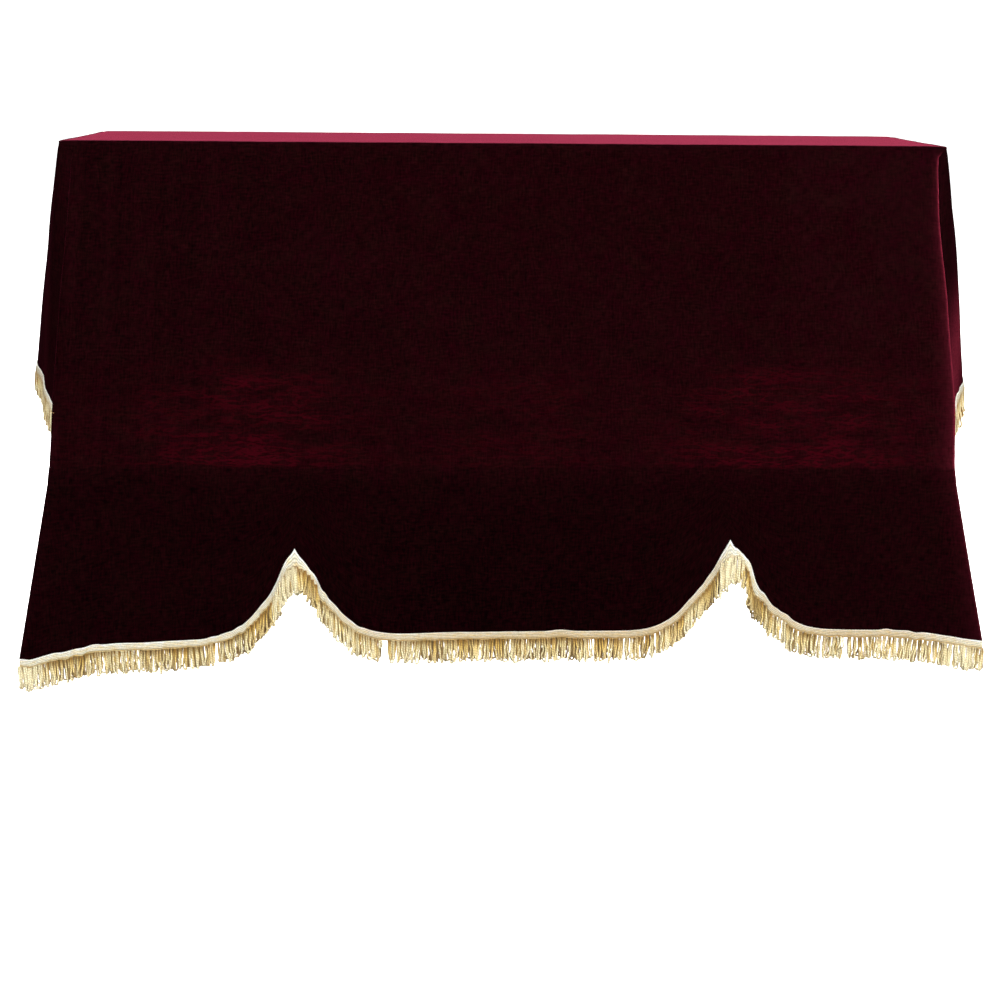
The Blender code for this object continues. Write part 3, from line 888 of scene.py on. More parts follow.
def braid_mesh(name, line, pointed):
    """The woven heading: a ribbed band laid on the outside of the hem."""
    count = RIBS_ACROSS * RIB_POINTS
    across = np.linspace(0.0, 1.0, count + 1)
    rib = np.abs(np.sin(math.pi * RIBS_ACROSS * across)) ** RIB_FULLNESS
    profile = HEADING_THICK - RIB_HEIGHT + RIB_HEIGHT * rib
    profile[0] = profile[-1] = HEADING_THICK * EDGE_SHARE
    across = np.concatenate([across, BACK_ACROSS])
    profile = np.concatenate([profile, BACK_PROFILE])
    stations, ring = len(line.points), len(across)

    x = line.points[:, 0]
    rise, tones = np.zeros(stations), np.full(stations, SIDE_TONE)
    if pointed:
        rise = NIB_RISE * tip_nearness(x, NIB_WIDTH) ** NIB_SHARPNESS
        tones = np.array([smooth_table(BRAID_TONES, "level", place) for place in x])
    wander = drift(line, TOP_WANDER_LENGTH, 0.3, 5.0) * TOP_WANDER
    grain = np.outer(drift(line, GRAIN_LENGTH, 0.3, 9.0) * GRAIN, np.ones(ring))
    grain[:, 0] = grain[:, count:] = 0.0
    reach = np.outer(braid_height(line, pointed), across) + np.outer(wander, 1 - across)
    points = line.points[:, None] + line.downs[:, None] * reach[:, :, None]
    points += line.outs[:, None] * (STAND_OFF + profile + grain)[:, :, None]
    points[:, :, 2] += np.outer(rise, (1 - across) ** 2)

    faces = [(i + j, i + (j + 1) % ring, i + ring + (j + 1) % ring, i + ring + j)
             for i in range(0, (stations - 1) * ring, ring) for j in range(ring)]
    faces += [range(ring)[::-1], range((stations - 1) * ring, stations * ring)]
    mesh = new_mesh(name, points.reshape(-1, 3).tolist(), faces, finish("heading_yarn"))
    set_flat(mesh, np.repeat(line.lengths, ring), np.tile(across * HEADING_HEIGHT, stations))
    set_values(mesh, {"tone": np.repeat(tones, ring)})
    link(name, mesh)


# ---------------------------------------------------------------- node trees

class Wire:
    """A node's output, worked with as a number or as a vector, as its type is."""

    def __init__(self, socket):
        self.socket = socket
        self.tree = socket.id_data

    def __getitem__(self, name):
        return Wire(self.socket.node.outputs[name])

    def maths(self, operation, *others, clamp=False):
        if self.socket.type in ("VECTOR", "RGBA"):
            return node(self.tree, "ShaderNodeVectorMath", self, *others, operation=operation)
        return node(self.tree, "ShaderNodeMath", self, *others, operation=operation,
                    use_clamp=clamp)

    __add__ = partialmethod(maths, "ADD")
    __sub__ = partialmethod(maths, "SUBTRACT")
    __mul__ = partialmethod(maths, "MULTIPLY")
    __truediv__ = partialmethod(maths, "DIVIDE")
    __pow__ = partialmethod(maths, "POWER")
    __abs__ = partialmethod(maths, "ABSOLUTE")

    # This times a slope, plus a level
    line = partialmethod(maths, "MULTIPLY_ADD")

    def __rsub__(self, first):
        return node(self.tree, "ShaderNodeMath", first, self, operation="SUBTRACT")

    def __rtruediv__(self, first):
        return node(self.tree, "ShaderNodeMath", first, self, operation="DIVIDE")

    def noise(self, scale=1.0, detail=2.0, rough=0.5):
        return node(self.tree, "ShaderNodeTexNoise", Vector=self, Scale=scale, Detail=detail,
                    Roughness=rough)

    def mixed(self, factor, second):
        return mix(self.tree, factor, self, second)

    def tinted(self, second):
        return mix(self.tree, 1.0, self, second, "MULTIPLY")

    def parts(self):
        """The three numbers of a vector."""
        split = node(self.tree, "ShaderNodeSeparateXYZ", self)
        return split, split["Y"], split["Z"]


def plug(socket, value):
    """Give an input a value or another node's output."""
    if isinstance(value, Wire):
        socket.id_data.links.new(value.socket, socket)
    elif value is not None:
        socket.default_value = value


def node(tree, kind, *places, output=0, **named):
    """A new node's output. Capital words name its inputs, and small ones its settings."""
    made = tree.nodes.new(kind)
    inputs = dict(enumerate(places))
    for key, value in named.items():
        if key[0].isupper():
            inputs[key.replace("_", " ")] = value
        else:
            setattr(made, key, value)
    for place, value in inputs.items():
        plug(made.inputs[place], value)
    return Wire(made.outputs[output])


def vector(tree, *parts):
    return node(tree, "ShaderNodeCombineXYZ", *parts)


def mix(tree, factor, first, second, blend="MIX"):
    """Two colours mixed. The node keeps the places between for its other kinds."""
    return node(tree, "ShaderNodeMix", factor, *[None] * 5, first, second, output=2,
                data_type="RGBA", blend_type=blend)


def ramp(factor, first, *middle_and_last):
    """Colours along a factor, each a place and a colour."""
    *middle, last = middle_and_last
    made = node(factor.tree, "ShaderNodeValToRGB", Fac=factor)
    stops = made.socket.node.color_ramp.elements
    for stop, (place, colour) in zip(stops, (first, last)):
        stop.position, stop.color = place, opaque(colour)
    for place, colour in middle:
        stops.new(place).color = opaque(colour)
    return made


def new_group(name, kind, **inputs):
    """A node group's tree, and its inputs, each with a default or a kind of socket."""
    tree = bpy.data.node_groups.new(name, kind)
    for key, default in inputs.items():
        word = {float: "Float", int: "Int"}.get(type(default), default)
        made = tree.interface.new_socket(key.replace("_", " "), in_out="INPUT",
                                         socket_type="NodeSocket" + word)
        if word != default:
            made.default_value = default
    start = tree.nodes.new("NodeGroupInput")
    return tree, *(Wire(socket) for socket in start.outputs[:-1])


def end_group(tree, kind, **outputs):
    """Give a node group its outputs."""
    for key in outputs:
        tree.interface.new_socket(key, in_out="OUTPUT", socket_type="NodeSocket" + kind)
    end = tree.nodes.new("NodeGroupOutput")
    for key, value in outputs.items():
        plug(end.inputs[key], value)
    return tree


def group(maker):
    """A node group, built the first time it is wanted."""
    return bpy.data.node_groups.get(maker.__name__) or maker()


def pile_lay():
    """How the velvet's pile lies over the flat cloth: its tone, its hue and its grain."""
    tree, cloth, patch, stroke, grain = new_group(
        "pile_lay", "ShaderNodeTree", Cloth="Vector", Patch=0.09, Stroke=0.018, Grain=0.0011)
    patches = cloth.noise(1.0 / patch, 3.0, 0.55)
    strokes = (cloth * (1.0, 0.28, 1.0)).noise(1.0 / stroke)
    upright = (cloth * (330.0, 60.0, 1.0)).noise()
    level = (cloth * (75.0, 300.0, 1.0)).noise()
    return end_group(tree, "Float", Tone=patches * 0.65 + strokes * 0.35, Strokes=strokes,
                     Grain=cloth.noise(1.0 / grain, 1.0), Mottle=upright + level,
                     Hue=cloth.noise(26.0, 4.0, 0.7))


def thread_twist():
    """Twisted thread: stripes that wind round a yarn from its angle and its length."""
    tree, around, twist, plies = new_group(
        "thread_twist", "ShaderNodeTree", Around="Vector", Twist=0.0045, Plies=2.0)
    x, y, along = around.parts()
    phase = along / twist * (2 * math.pi) + y.maths("ARCTAN2", x) * plies
    wave = phase.maths("SINE").line(0.5, 0.5)
    return end_group(tree, "Float", Height=wave ** 0.6, Groove=1.0 - wave ** 0.5)


def stitch_rows():
    """Rows of slanting stitches, each row leaning the other way from the last."""
    tree, cloth, row_height, stitch, slant = new_group(
        "stitch_rows", "ShaderNodeTree", Cloth="Vector", Row=0.0028, Stitch=0.0019, Slant=0.9)
    x, y, _ = cloth.parts()
    row = y / row_height
    lean = row.maths("PINGPONG", 1.0) * slant
    wave = ((x / stitch + lean) * (2 * math.pi)).maths("SINE").line(0.5, 0.5)
    body = (row.maths("FRACT") * math.pi).maths("SINE")
    return end_group(tree, "Float", Height=wave ** 0.7 * body ** 0.5, Rows=body)


# ---------------------------------------------------------------- finishes

# The pile from its darkest to its lightest, by its random tone and its painted light and
# shade, and its hue from cool to warm
PILE_DARK, PILE_LIGHT = 0.26, 1.76
PILE_COOL, PILE_WARM = (0.96, 1.30, 1.05, 1.0), (1.0, 0.55, 1.0, 1.0)
GROUND_DARK, GROUND_LIGHT = 1.4, 3.2

# The braid's light, by its tone, from shaded to lit, and the tint of its golder patches
BRAID_SHADED, BRAID_LIT = (0.69, 0.62, 0.52, 1.0), (0.96, 1.03, 1.15, 1.0)
SHADED_TONE, TONE_SPAN = 0.74, 0.26
BRAID_GOLD = (1.0, 0.84, 0.52, 1.0)

# Relief, as the depth of each pattern
STROKE_DEPTH, GRAIN_DEPTH, CRUSH_DEPTH = 0.0009, 0.00025, 0.0016
GROUND_DEPTH, BRAID_DEPTH, TWIST_DEPTH = 0.0003, 0.0005, 0.0006


def times(colour, factor):
    return (colour[0] * factor, colour[1] * factor, colour[2] * factor, 1.0)


def opaque(colour):
    return (*colour, 1.0)


def new_material(name):
    material = bpy.data.materials.new(name)
    material.use_nodes = True
    return material, material.node_tree


def flat_cloth(tree):
    """Place on the flat cloth."""
    return node(tree, "ShaderNodeUVMap", uv_map="cloth")


def mark(tree, name, output="Fac"):
    """A piece's own value from point to point."""
    return node(tree, "ShaderNodeAttribute", attribute_name=name, output=output)


def use(tree, maker, **inputs):
    """A node group in a material."""
    return node(tree, "ShaderNodeGroup", node_tree=group(maker), **inputs)


def dress(material, colour, rough, height, strength, **plain):
    """Give a material its colour, its roughness, its relief and its plain values."""
    tree = material.node_tree
    shader = tree.nodes["Principled BSDF"]
    bump = node(tree, "ShaderNodeBump", Height=height, Distance=1.0, Strength=strength)
    for place, value in (("Base Color", colour), ("Roughness", rough), ("Normal", bump)):
        plug(shader.inputs[place], value)
    for key, value in plain.items():
        shader.inputs[key.replace("_", " ")].default_value = value
    return material


def velvet(name, cloth, sheen):
    """Deep pile: near black seen square on, wine and pink where it is seen along."""
    material, tree = new_material(name)
    flat = flat_cloth(tree)
    lay = use(tree, pile_lay, Cloth=flat)
    # The pile's random tone, with painted light and shade from the cloth's own mask
    tone = lay["Tone"].line(0.5, mark(tree, "lay"))
    tone = tone.maths("ADD", lay["Mottle"].line(1.5, -1.75), clamp=True)
    colour = mix(tree, tone, times(cloth.pile_colour, PILE_DARK),
                 times(cloth.pile_colour, PILE_LIGHT))
    hue = lay["Hue"].line(3.0, -1.0, clamp=True)
    colour = colour.tinted(mix(tree, hue, PILE_COOL, PILE_WARM))

    crushed = mark(tree, "crushed")
    # Painted highlight: thin pink glints where the band is crushed
    lines = (flat * (20.0, 85.0, 1.0)).noise(1.0, 3.0, 0.6) - 0.5
    lines = abs(lines).line(-16.0, 1.0, clamp=True)
    colour = colour.mixed(crushed * lines.line(0.84, 0.16), opaque(cloth.crushed_colour))
    # Painted sheen along the right edge and on the right side panel, broken up by the mottle
    broken = lay["Mottle"].line(1.2, -0.2)
    bloom = mark(tree, "bloom").maths("MULTIPLY", broken, clamp=True)
    colour = colour.mixed(bloom, opaque(cloth.bloom_colour))
    colour = colour.tinted(lay["Grain"].line(0.9, 0.55))

    crinkle = (flat * (38.0, 120.0, 1.0)).noise(1.0, 3.0, 0.6) * crushed * CRUSH_DEPTH
    height = lay["Strokes"] * STROKE_DEPTH + lay["Grain"] * GRAIN_DEPTH + crinkle
    return dress(material, colour, lay["Tone"].line(0.12, 0.80), height, 0.9,
                 Specular_IOR_Level=0.0, Sheen_Weight=sheen,
                 Sheen_Roughness=cloth.sheen_roughness, Sheen_Tint=opaque(cloth.sheen_colour))


def velvet_ground(name, cloth):
    """The velvet's inner side: its plain woven ground."""
    material, tree = new_material(name)
    flat = flat_cloth(tree)
    weave = use(tree, stitch_rows, Cloth=flat, Row=0.0012, Stitch=0.0014, Slant=0.6)
    patch = flat.noise(9.0, 3.0)
    colour = mix(tree, weave, times(cloth.pile_colour, GROUND_DARK),
                 times(cloth.pile_colour, GROUND_LIGHT))
    colour = colour.tinted(patch.line(0.8, 0.6))
    return dress(material, colour, patch.line(0.15, 0.75), weave * GROUND_DEPTH, 0.7,
                 Specular_IOR_Level=0.15)


def heading_yarn(name, trim):
    """Cream braid of stitched rows, whiter along its top with a painted highlight and golder
    along its foot, darkened there with painted shade.
    """
    material, tree = new_material(name)
    flat = flat_cloth(tree)
    weave = use(tree, stitch_rows, Cloth=flat, Row=HEADING_HEIGHT / RIBS_ACROSS)
    down = flat.parts()[1].maths("DIVIDE", HEADING_HEIGHT, clamp=True)
    colour = ramp(down, (0.02, trim.braid_edge_colour), (0.30, trim.braid_colour),
                  (0.58, trim.braid_colour), (0.86, trim.braid_foot_colour))
    speck = (flat * (420.0, 700.0, 1.0)).noise()
    colour = colour.tinted(weave.line(0.60, 0.52)).tinted(speck.line(1.1, 0.46))

    # Painted light along the trim: from a shaded buff to a lit bluish white, with painted
    # glare where it is lit most
    tone = mark(tree, "tone")
    light = tone.line(1 / TONE_SPAN, -SHADED_TONE / TONE_SPAN, clamp=True)
    tint = mix(tree, light, BRAID_SHADED, BRAID_LIT)
    glare = tone.line(2.0, -1.0).maths("MAXIMUM", 1.0)
    colour = colour.tinted(tint).tinted(glare).tinted(weave["Rows"].line(0.36, 0.76))
    patch = (flat * (1.0, 3.0, 1.0)).noise(90.0)
    colour = colour.mixed(patch.line(3.0, -1.2, clamp=True), colour.tinted(BRAID_GOLD))
    colour.socket.node.clamp_result = True
    return dress(material, colour, speck.line(0.25, 0.38), weave * BRAID_DEPTH, 0.8,
                 Specular_IOR_Level=0.4, Sheen_Weight=0.2, Sheen_Roughness=0.4)


def yarn(name, trim, fringe):
    """Glossy twisted yarn, golder and darker at its root, partly painted shade under the
    braid, and paler at its foot.
    """
    material, tree = new_material(name)
    twist = use(tree, thread_twist, Around=mark(tree, "yarn", "Vector"), Twist=trim.twist,
                Plies=1.0)
    drop, tone, shade = mark(tree, "look", "Vector").parts()
    if fringe:
        # Darker gold at the root, partly golder yarn and partly painted shade under the braid,
        # paler towards the foot
        colour = ramp(drop, (0.0, trim.root_colour), (0.08, trim.root_colour),
                      (0.36, trim.yarn_colour), (1.0, trim.foot_colour))
    else:
        colour = mix(tree, 0.0, opaque(trim.braid_edge_colour), opaque(trim.braid_colour))

    # shade is golden from 0 to 1, in shadow from 1 to 2 and pale below 0
    golden = tone.line(1.3, -0.22).maths("ADD", shade, clamp=True) * drop.line(-0.60, 1.0)
    colour = colour.mixed(golden, colour.tinted(opaque(trim.gold_tint)))
    colour = colour.mixed(shade.maths("MULTIPLY", -1.0, clamp=True), opaque(trim.foot_colour))
    colour = colour.mixed(shade.maths("SUBTRACT", 1.0, clamp=True), opaque(trim.shadow_colour))
    # Painted shade on the strands' edges that turn away from the front and in the grooves of
    # the twist
    turned = mark(tree, "front").line(-1.5, 1.15, clamp=True) if fringe else 0.0
    groove_and_edge_shade = (twist["Groove"] * 0.45).maths("MAXIMUM", turned)
    colour = colour.mixed(groove_and_edge_shade, opaque(trim.groove_colour))
    return dress(material, colour, twist["Groove"].line(0.3, 0.36), twist * TWIST_DEPTH, 0.8,
                 Specular_IOR_Level=0.5, Sheen_Weight=0.15, Sheen_Roughness=0.4)


def finish(name):
    """A finish by name."""
    cloth, trim = bpy.context.scene.cover_cloth, bpy.context.scene.cover_trim
    if name not in FINISHES:
        FINISHES[name] = {
            "velvet": lambda: velvet(name, cloth, cloth.sheen),
            "velvet_cross": lambda: velvet(name, cloth, cloth.side_sheen),
            "velvet_ground": lambda: velvet_ground(name, cloth),
            "heading_yarn": lambda: heading_yarn(name, trim),
            "fringe_yarn": lambda: yarn(name, trim, True),
            "sewing_thread": lambda: yarn(name, trim, False),
        }[name]()
    return FINISHES[name]


# ---------------------------------------------------------------- geometry node trees

def geo(tree, kind, *places, **named):
    return node(tree, "GeometryNode" + kind, *places, **named)


def chance(seed, number, low, high):
    """A random number or vector for each point, with a seed of its own."""
    spread = isinstance(low, tuple)
    places = (low, high) if spread else (None, None, low, high)
    return node(seed.tree, "FunctionNodeRandomValue", *places, Seed=seed + float(number),
                data_type="FLOAT_VECTOR" if spread else "FLOAT", output=0 if spread else 1)


def store(shape, name, value, domain="POINT"):
    kind = {"VALUE": "FLOAT", "VECTOR": "FLOAT_VECTOR"}[value.socket.type]
    return geo(shape.tree, "StoreNamedAttribute", Geometry=shape, Name=name, Value=value,
               data_type=kind, domain=domain)


def stored(tree, name, kind="FLOAT"):
    return geo(tree, "InputNamedAttribute", Name=name, data_type=kind)


def turned_about(place, axis, angle, **centre):
    return node(place.tree, "ShaderNodeVectorRotate", Vector=place, Axis=axis, Angle=angle,
                rotation_type="AXIS_ANGLE", **centre)


def facing(tree, axes, first, second):
    """The turn that points two of a shape's axes along two vectors."""
    return node(tree, "FunctionNodeAxesToRotation", Primary_Axis=first, Secondary_Axis=second,
                primary_axis=axes[0], secondary_axis=axes[1])


def along_line(line, pitch):
    """A line cut into steps of a pitch."""
    curve = geo(line.tree, "MeshToCurve", Mesh=line)
    return geo(line.tree, "ResampleCurve", Curve=curve, Length=pitch, mode="LENGTH")


def end_shape(shape, material, name, spent):
    """End a tree: real faces with their material, without the attributes that are spent."""
    for key in spent:
        shape = geo(shape.tree, "RemoveAttribute", Geometry=shape, Name=key)
    shape = geo(shape.tree, "SetShadeSmooth", Geometry=shape)
    shape = geo(shape.tree, "RealizeInstances", Geometry=shape)
    shape = geo(shape.tree, "SetMaterial", Geometry=shape, Material=material)
    return end_group(shape.tree, "Geometry", **{name: shape})


LOOP_POINTS = 15
EYE_SHARE = 3.0 / 7.0
EYE_HEIGHT = 0.085
LEG_NARROWING = 0.45
YARN_SIDES = 5
UPRIGHT = (0.0, 0.0, 1.0)
MIDDLE = (0.5, 0.5, 0.5)

# How loops differ: in width, in lean, in turn, and in three marks, which are where a
# loop's yarn starts, how golden it is and which way its legs twist
WIDTHS = (0.45, 1.45)
LEANS = ((-0.05, -0.05, 0.0), (0.05, 0.05, 0.0))
TURNS = (-0.55, 0.55)
MARKS = ((-40.0, 0.0, -1.0), (40.0, 1.0, 1.0))
WOBBLES = (-0.12, 0.12)

# A loop's wander: its waves to the metre, and how far it goes each way, broad and fine
WAVES = (30.0, 30.0, 42.0)
STIR = (2.5, 1.5, 0.4)
CURL = (1.7, 1.3, 0.3)
CURL_WAVES = 3.1


def yarn_loops():
    """Loops of yarn that hang from a line: a loop at each step, each a little different."""
    (tree, line, pitch, loop_length, loop_width, thickness, unevenness, sway, turn, seed,
     material) = new_group(
        "yarn_loops", "GeometryNodeTree", Line="Geometry", Pitch=0.0096, Loop_Length=0.040,
        Loop_Width=0.0056, Yarn_Thickness=0.0027, Unevenness=0.005, Sway=0.0022, Turn=2.0,
        Seed=5, Yarn="Material")
    outward = stored(tree, "outward", "FLOAT_VECTOR")
    place = geo(tree, "InputPosition")
    places = geo(tree, "CurveToMesh", Curve=along_line(line, pitch))
    places = geo(tree, "DeleteGeometry", Geometry=places, domain="POINT",
                 Selection=stored(tree, "fill").maths("LESS_THAN", 0.5))

    # One loop of unit width and length, with its drop from root to foot
    side = geo(tree, "InputIndex").line(2.0 / (LOOP_POINTS - 1), -1.0)
    away = abs(side)
    round_eye = away.maths("DIVIDE", EYE_SHARE, clamp=True) * (math.pi / 2)
    leg = (away - EYE_SHARE).maths("DIVIDE", 1 - EYE_SHARE, clamp=True)
    x = round_eye.maths("SINE") * leg.line(-LEG_NARROWING, 1.0) * (side.maths("SIGN") * 0.5)
    drop = round_eye.maths("COSINE").line(EYE_HEIGHT, 1 - EYE_HEIGHT)
    drop -= leg * (1 - EYE_HEIGHT)
    loop = geo(tree, "MeshLine", Count=LOOP_POINTS)
    loop = geo(tree, "SetPosition", Geometry=loop, Position=vector(tree, x, None, drop * -1.0))
    loop = geo(tree, "MeshToCurve", Mesh=store(loop, "drop", drop))

    # Placed along the line, each with its own length, width, turn and lean
    length = (loop_length - chance(seed, 1, 0.0, unevenness)) * stored(tree, "reach")
    width = loop_width * chance(seed, 2, *WIDTHS)
    up = stored(tree, "lean", "FLOAT_VECTOR") + chance(seed, 3, *LEANS) + UPRIGHT
    across = turned_about(outward, UPRIGHT, chance(seed, 4, *TURNS))
    loops = geo(tree, "InstanceOnPoints", Points=places, Instance=loop,
                Scale=vector(tree, width, 1.0, length),
                Rotation=facing(tree, "ZY", up, across))
    loops = store(loops, "root", place, "INSTANCE")
    loops = store(loops, "marks", chance(seed, 5, *MARKS), "INSTANCE")
    loops = geo(tree, "RealizeInstances", Geometry=loops)

    # Twist the two legs round each other and let the yarn wander
    shift, gold, spin = stored(tree, "marks", "FLOAT_VECTOR").parts()
    drop = stored(tree, "drop")
    twisted = turned_about(place, UPRIGHT, spin * turn * drop,
                           Center=stored(tree, "root", "FLOAT_VECTOR"))
    loops = geo(tree, "SetPosition", Geometry=loops, Position=twisted)
    here = place * WAVES + vector(tree, shift, shift)
    stir = (here.noise(1.0, 1.0)["Color"] - MIDDLE) * STIR
    curl = (here.noise(CURL_WAVES, 0.0)["Color"] - MIDDLE) * CURL
    wander = node(tree, "ShaderNodeVectorMath", stir + curl, Scale=sway * drop ** 0.6,
                  operation="SCALE")
    loops = geo(tree, "SetPosition", Geometry=loops, Offset=wander)

    # Yarn round each loop, with its place along and around kept for its twist
    loops = geo(tree, "CaptureAttribute", Geometry=loops, domain="POINT")
    loops.socket.node.capture_items.new("FLOAT", "Run")
    plug(loops.socket.node.inputs["Run"], geo(tree, "SplineParameter", output="Length"))
    ring = geo(tree, "CurvePrimitiveCircle", Resolution=YARN_SIDES, Radius=thickness * 0.5,
               mode="RADIUS")
    ring = geo(tree, "CaptureAttribute", Geometry=ring, domain="POINT")
    ring.socket.node.capture_items.new("VECTOR", "Side")
    plug(ring.socket.node.inputs["Side"], place.maths("NORMALIZE"))
    shape = geo(tree, "CurveToMesh", Curve=loops, Profile_Curve=ring, Fill_Caps=True)
    side_x, side_y, _ = ring["Side"].parts()
    run = shift.line(0.001, loops["Run"])
    # How squarely the yarn faces out, for painted shade on its edges
    front = node(tree, "ShaderNodeVectorMath", geo(tree, "InputNormal"), outward,
                 operation="DOT_PRODUCT", output="Value")
    shape = store(shape, "yarn", vector(tree, side_x, side_y, run))
    shape = store(shape, "look", vector(tree, drop, gold, stored(tree, "shade")))
    shape = store(shape, "front", front)
    return end_shape(shape, material, "Loops", ("drop", "root", "marks", "fill", "reach",
                                                "lean", "outward", "shade"))


def stitch_row():
    """A row of stitches along a line, each a small bead of thread laid on the cloth."""
    tree, line, pitch, stitch, thread, slant, seed, material = new_group(
        "stitch_row", "GeometryNodeTree", Line="Geometry", Pitch=0.0042,
        Stitch_Length=0.0028, Thread=0.0006, Slant=0.0, Seed=3, Yarn="Material")
    outward = stored(tree, "outward", "FLOAT_VECTOR")
    bead = geo(tree, "MeshUVSphere", Segments=6, Rings=4, Radius=0.5)
    bead = geo(tree, "Transform", Geometry=bead, Scale=vector(tree, stitch, thread, thread))
    slanted = turned_about(geo(tree, "InputTangent"), outward,
                           chance(seed, 1, *WOBBLES) + slant)
    shape = geo(tree, "InstanceOnPoints", Points=along_line(line, pitch), Instance=bead,
                Rotation=facing(tree, "XZ", slanted, outward))
    shape = geo(tree, "RealizeInstances", Geometry=shape)
    return end_shape(shape, material, "Stitches", ("outward",))


# ---------------------------------------------------------------- settings

# Kinds of settings: a colour, a share from 0 to 1, a plain amount, a length and a power

def colour(name, description, *default):
    return bpy.props.FloatVectorProperty(name=name, description=description, subtype="COLOR",
                                         min=0.0, max=1.0, default=default)


def factor(name, description, default):
    return bpy.props.FloatProperty(name=name, description=description, subtype="FACTOR",
                                   min=0.0, max=1.0, default=default)


def amount(name, description, default, unit="NONE"):
    return bpy.props.FloatProperty(name=name, description=description, default=default,
                                   unit=unit)


def metres(name, description, default):
    return amount(name, description, default, "LENGTH")


def watts(name, description, default):
    return amount(name, description, default, "POWER")


class CoverCloth(bpy.types.PropertyGroup):
    """Sizes and colours of the velvet."""
    pile_colour: colour("Pile", "Colour of the pile seen square on", 0.0066, 0.0009, 0.0013)
    # Painted highlight: the colour of the crushed band's glints
    crushed_colour: colour("Crushed", "Colour of the pile where it is crushed",
                           0.027, 0.0009, 0.0030)
    # Painted sheen: the colour of the painted highlights over the right edge and side panel
    bloom_colour: colour("Bloom", "Colour of the pile where it is pressed over an edge",
                         0.140, 0.0120, 0.024)
    sheen_colour: colour("Sheen", "Colour of the pile seen along the cloth",
                         0.80, 0.088, 0.185)
    sheen: factor("Sheen Weight", "How strongly the pile catches light", 0.33)
    side_sheen: factor("Side Sheen", "How strongly the side panels' pile catches light", 0.015)
    sheen_roughness: factor("Sheen Roughness", "How far the pile's shine spreads", 0.30)
    sway_depth: metres("Sway", "Depth of the broad waves in the hanging cloth", 0.0016)
    crinkle_depth: metres("Crinkle", "Depth of the crushed band above the crease", 0.0011)
    pucker_depth: metres("Pucker", "Depth of the puckers where the braid is sewn on", 0.0009)


class CoverTrim(bpy.types.PropertyGroup):
    """Sizes and colours of the braid and its loops."""
    pitch: metres("Pitch", "Distance from loop to loop", 0.0088)
    loop_length: metres("Loop Length", "Longest loop below the braid", 0.0425)
    loop_width: metres("Loop Width", "Distance between a loop's legs", 0.0060)
    yarn: metres("Yarn", "Thickness of the fringe yarn", 0.0034)
    unevenness: metres("Unevenness", "How much shorter the shortest loop is", 0.0060)
    sway: metres("Loop Sway", "How far a loop wanders from its line", 0.0040)
    twist: metres("Twist", "Length of one turn of the yarn", 0.0044)
    seed: bpy.props.IntProperty(name="Seed", description="Which random set of loops is made",
                                default=5)
    yarn_colour: colour("Yarn", "Colour of the loops", 0.92, 0.81, 0.45)
    # Partly golder yarn and partly painted shade under the braid
    root_colour: colour("Root", "Colour of the loops under the braid", 0.350, 0.225, 0.060)
    foot_colour: colour("Foot", "Colour of the loops' feet", 0.99, 0.92, 0.61)
    gold_tint: colour("Gold Tint", "Tint of the golder loops", 0.79, 0.565, 0.15)
    shadow_colour: colour("Back Rows", "Colour of the loops behind the front row",
                          0.200, 0.135, 0.044)
    # Painted shade between the turns of the yarn and on the strands' edges
    groove_colour: colour("Groove", "Colour between the turns of the yarn", 0.33, 0.18, 0.04)
    braid_colour: colour("Braid", "Colour of the braid", 0.92, 0.83, 0.62)
    # Partly the braid's whiter top and partly a painted highlight where light falls on it; the
    # stitches take it as their thread's colour
    braid_edge_colour: colour("Braid Top", "Colour of the braid's top edge", 1.0, 0.95, 0.86)
    # Partly the braid's golder foot and partly painted shade where the loops hang from it
    braid_foot_colour: colour("Braid Foot", "Colour of the braid's lower edge",
                              0.62, 0.46, 0.20)


class CoverStage(bpy.types.PropertyGroup):
    """The floor, the lights and the camera."""
    floor_colour: colour("Floor", "Colour of the floor", 0.93, 0.93, 0.93)
    bounce_colour: colour("Bounce", "Light that the floor gives back", 0.12, 0.12, 0.12)
    floor_glow: amount("Floor Glow", "How far the floor is lifted towards white", 0.70)
    ambient: amount("Room Light", "Strength of the even white light", 0.05)
    top_power: watts("Top Light", "Power of the soft light overhead", 35.0)
    back_power: watts("Back Light", "Power of the soft light behind the top", 765.0)
    key_power: watts("Key Light", "Power of the soft light above the front", 310.0)
    left_power: watts("Left Light", "Power of the soft light at the left", 45.0)
    right_power: watts("Right Light", "Power of the soft light at the right", 90.0)
    lens: amount("Lens", "Focal length in millimetres", 60.6)


# ---------------------------------------------------------------- loops along the trim

# Places along the front trim where loops are missing
BARE = table(
    "x half_width",
    (-0.201, 0.0055), (0.580, 0.0060), (-0.486, 0.0022), (0.147, 0.0022))

# Rows of loops one behind the other: how far behind the first, how long and how golden,
# with the back rows painted in shade above 1
LOOP_ROWS = table(
    "behind reach shade",
    (0.0, 1.00, 0.00), (0.0028, 0.95, 1.70), (0.0054, 0.91, 2.10))

# Bunches of loops on the front trim: place, half width, how far in front, how high above
# the braid's foot they start, how long and how golden
BUNCHES = table(
    "x half_width front rise reach shade",
    (-0.796, 0.017, 0.0010, 0.000, 1.00, -0.3), (-0.2085, 0.003, 0.0030, 0.000, 0.30, -0.9),
    (-0.366, 0.020, 0.0020, 0.002, 1.08, -1.0), (-0.352, 0.010, 0.0034, 0.003, 0.95, -0.8),
    (-0.334, 0.018, 0.0020, 0.003, 1.00, 0.1), (0.378, 0.014, 0.0036, 0.005, 1.06, -1.0),
    (0.386, 0.014, 0.0022, 0.004, 1.06, -1.0), (0.3690, 0.0035, 0.0050, 0.000, 1.22, -0.7),
    (0.5715, 0.003, 0.0030, 0.000, 0.45, -0.8), (0.780, 0.030, 0.0010, 0.000, 1.00, -0.3))

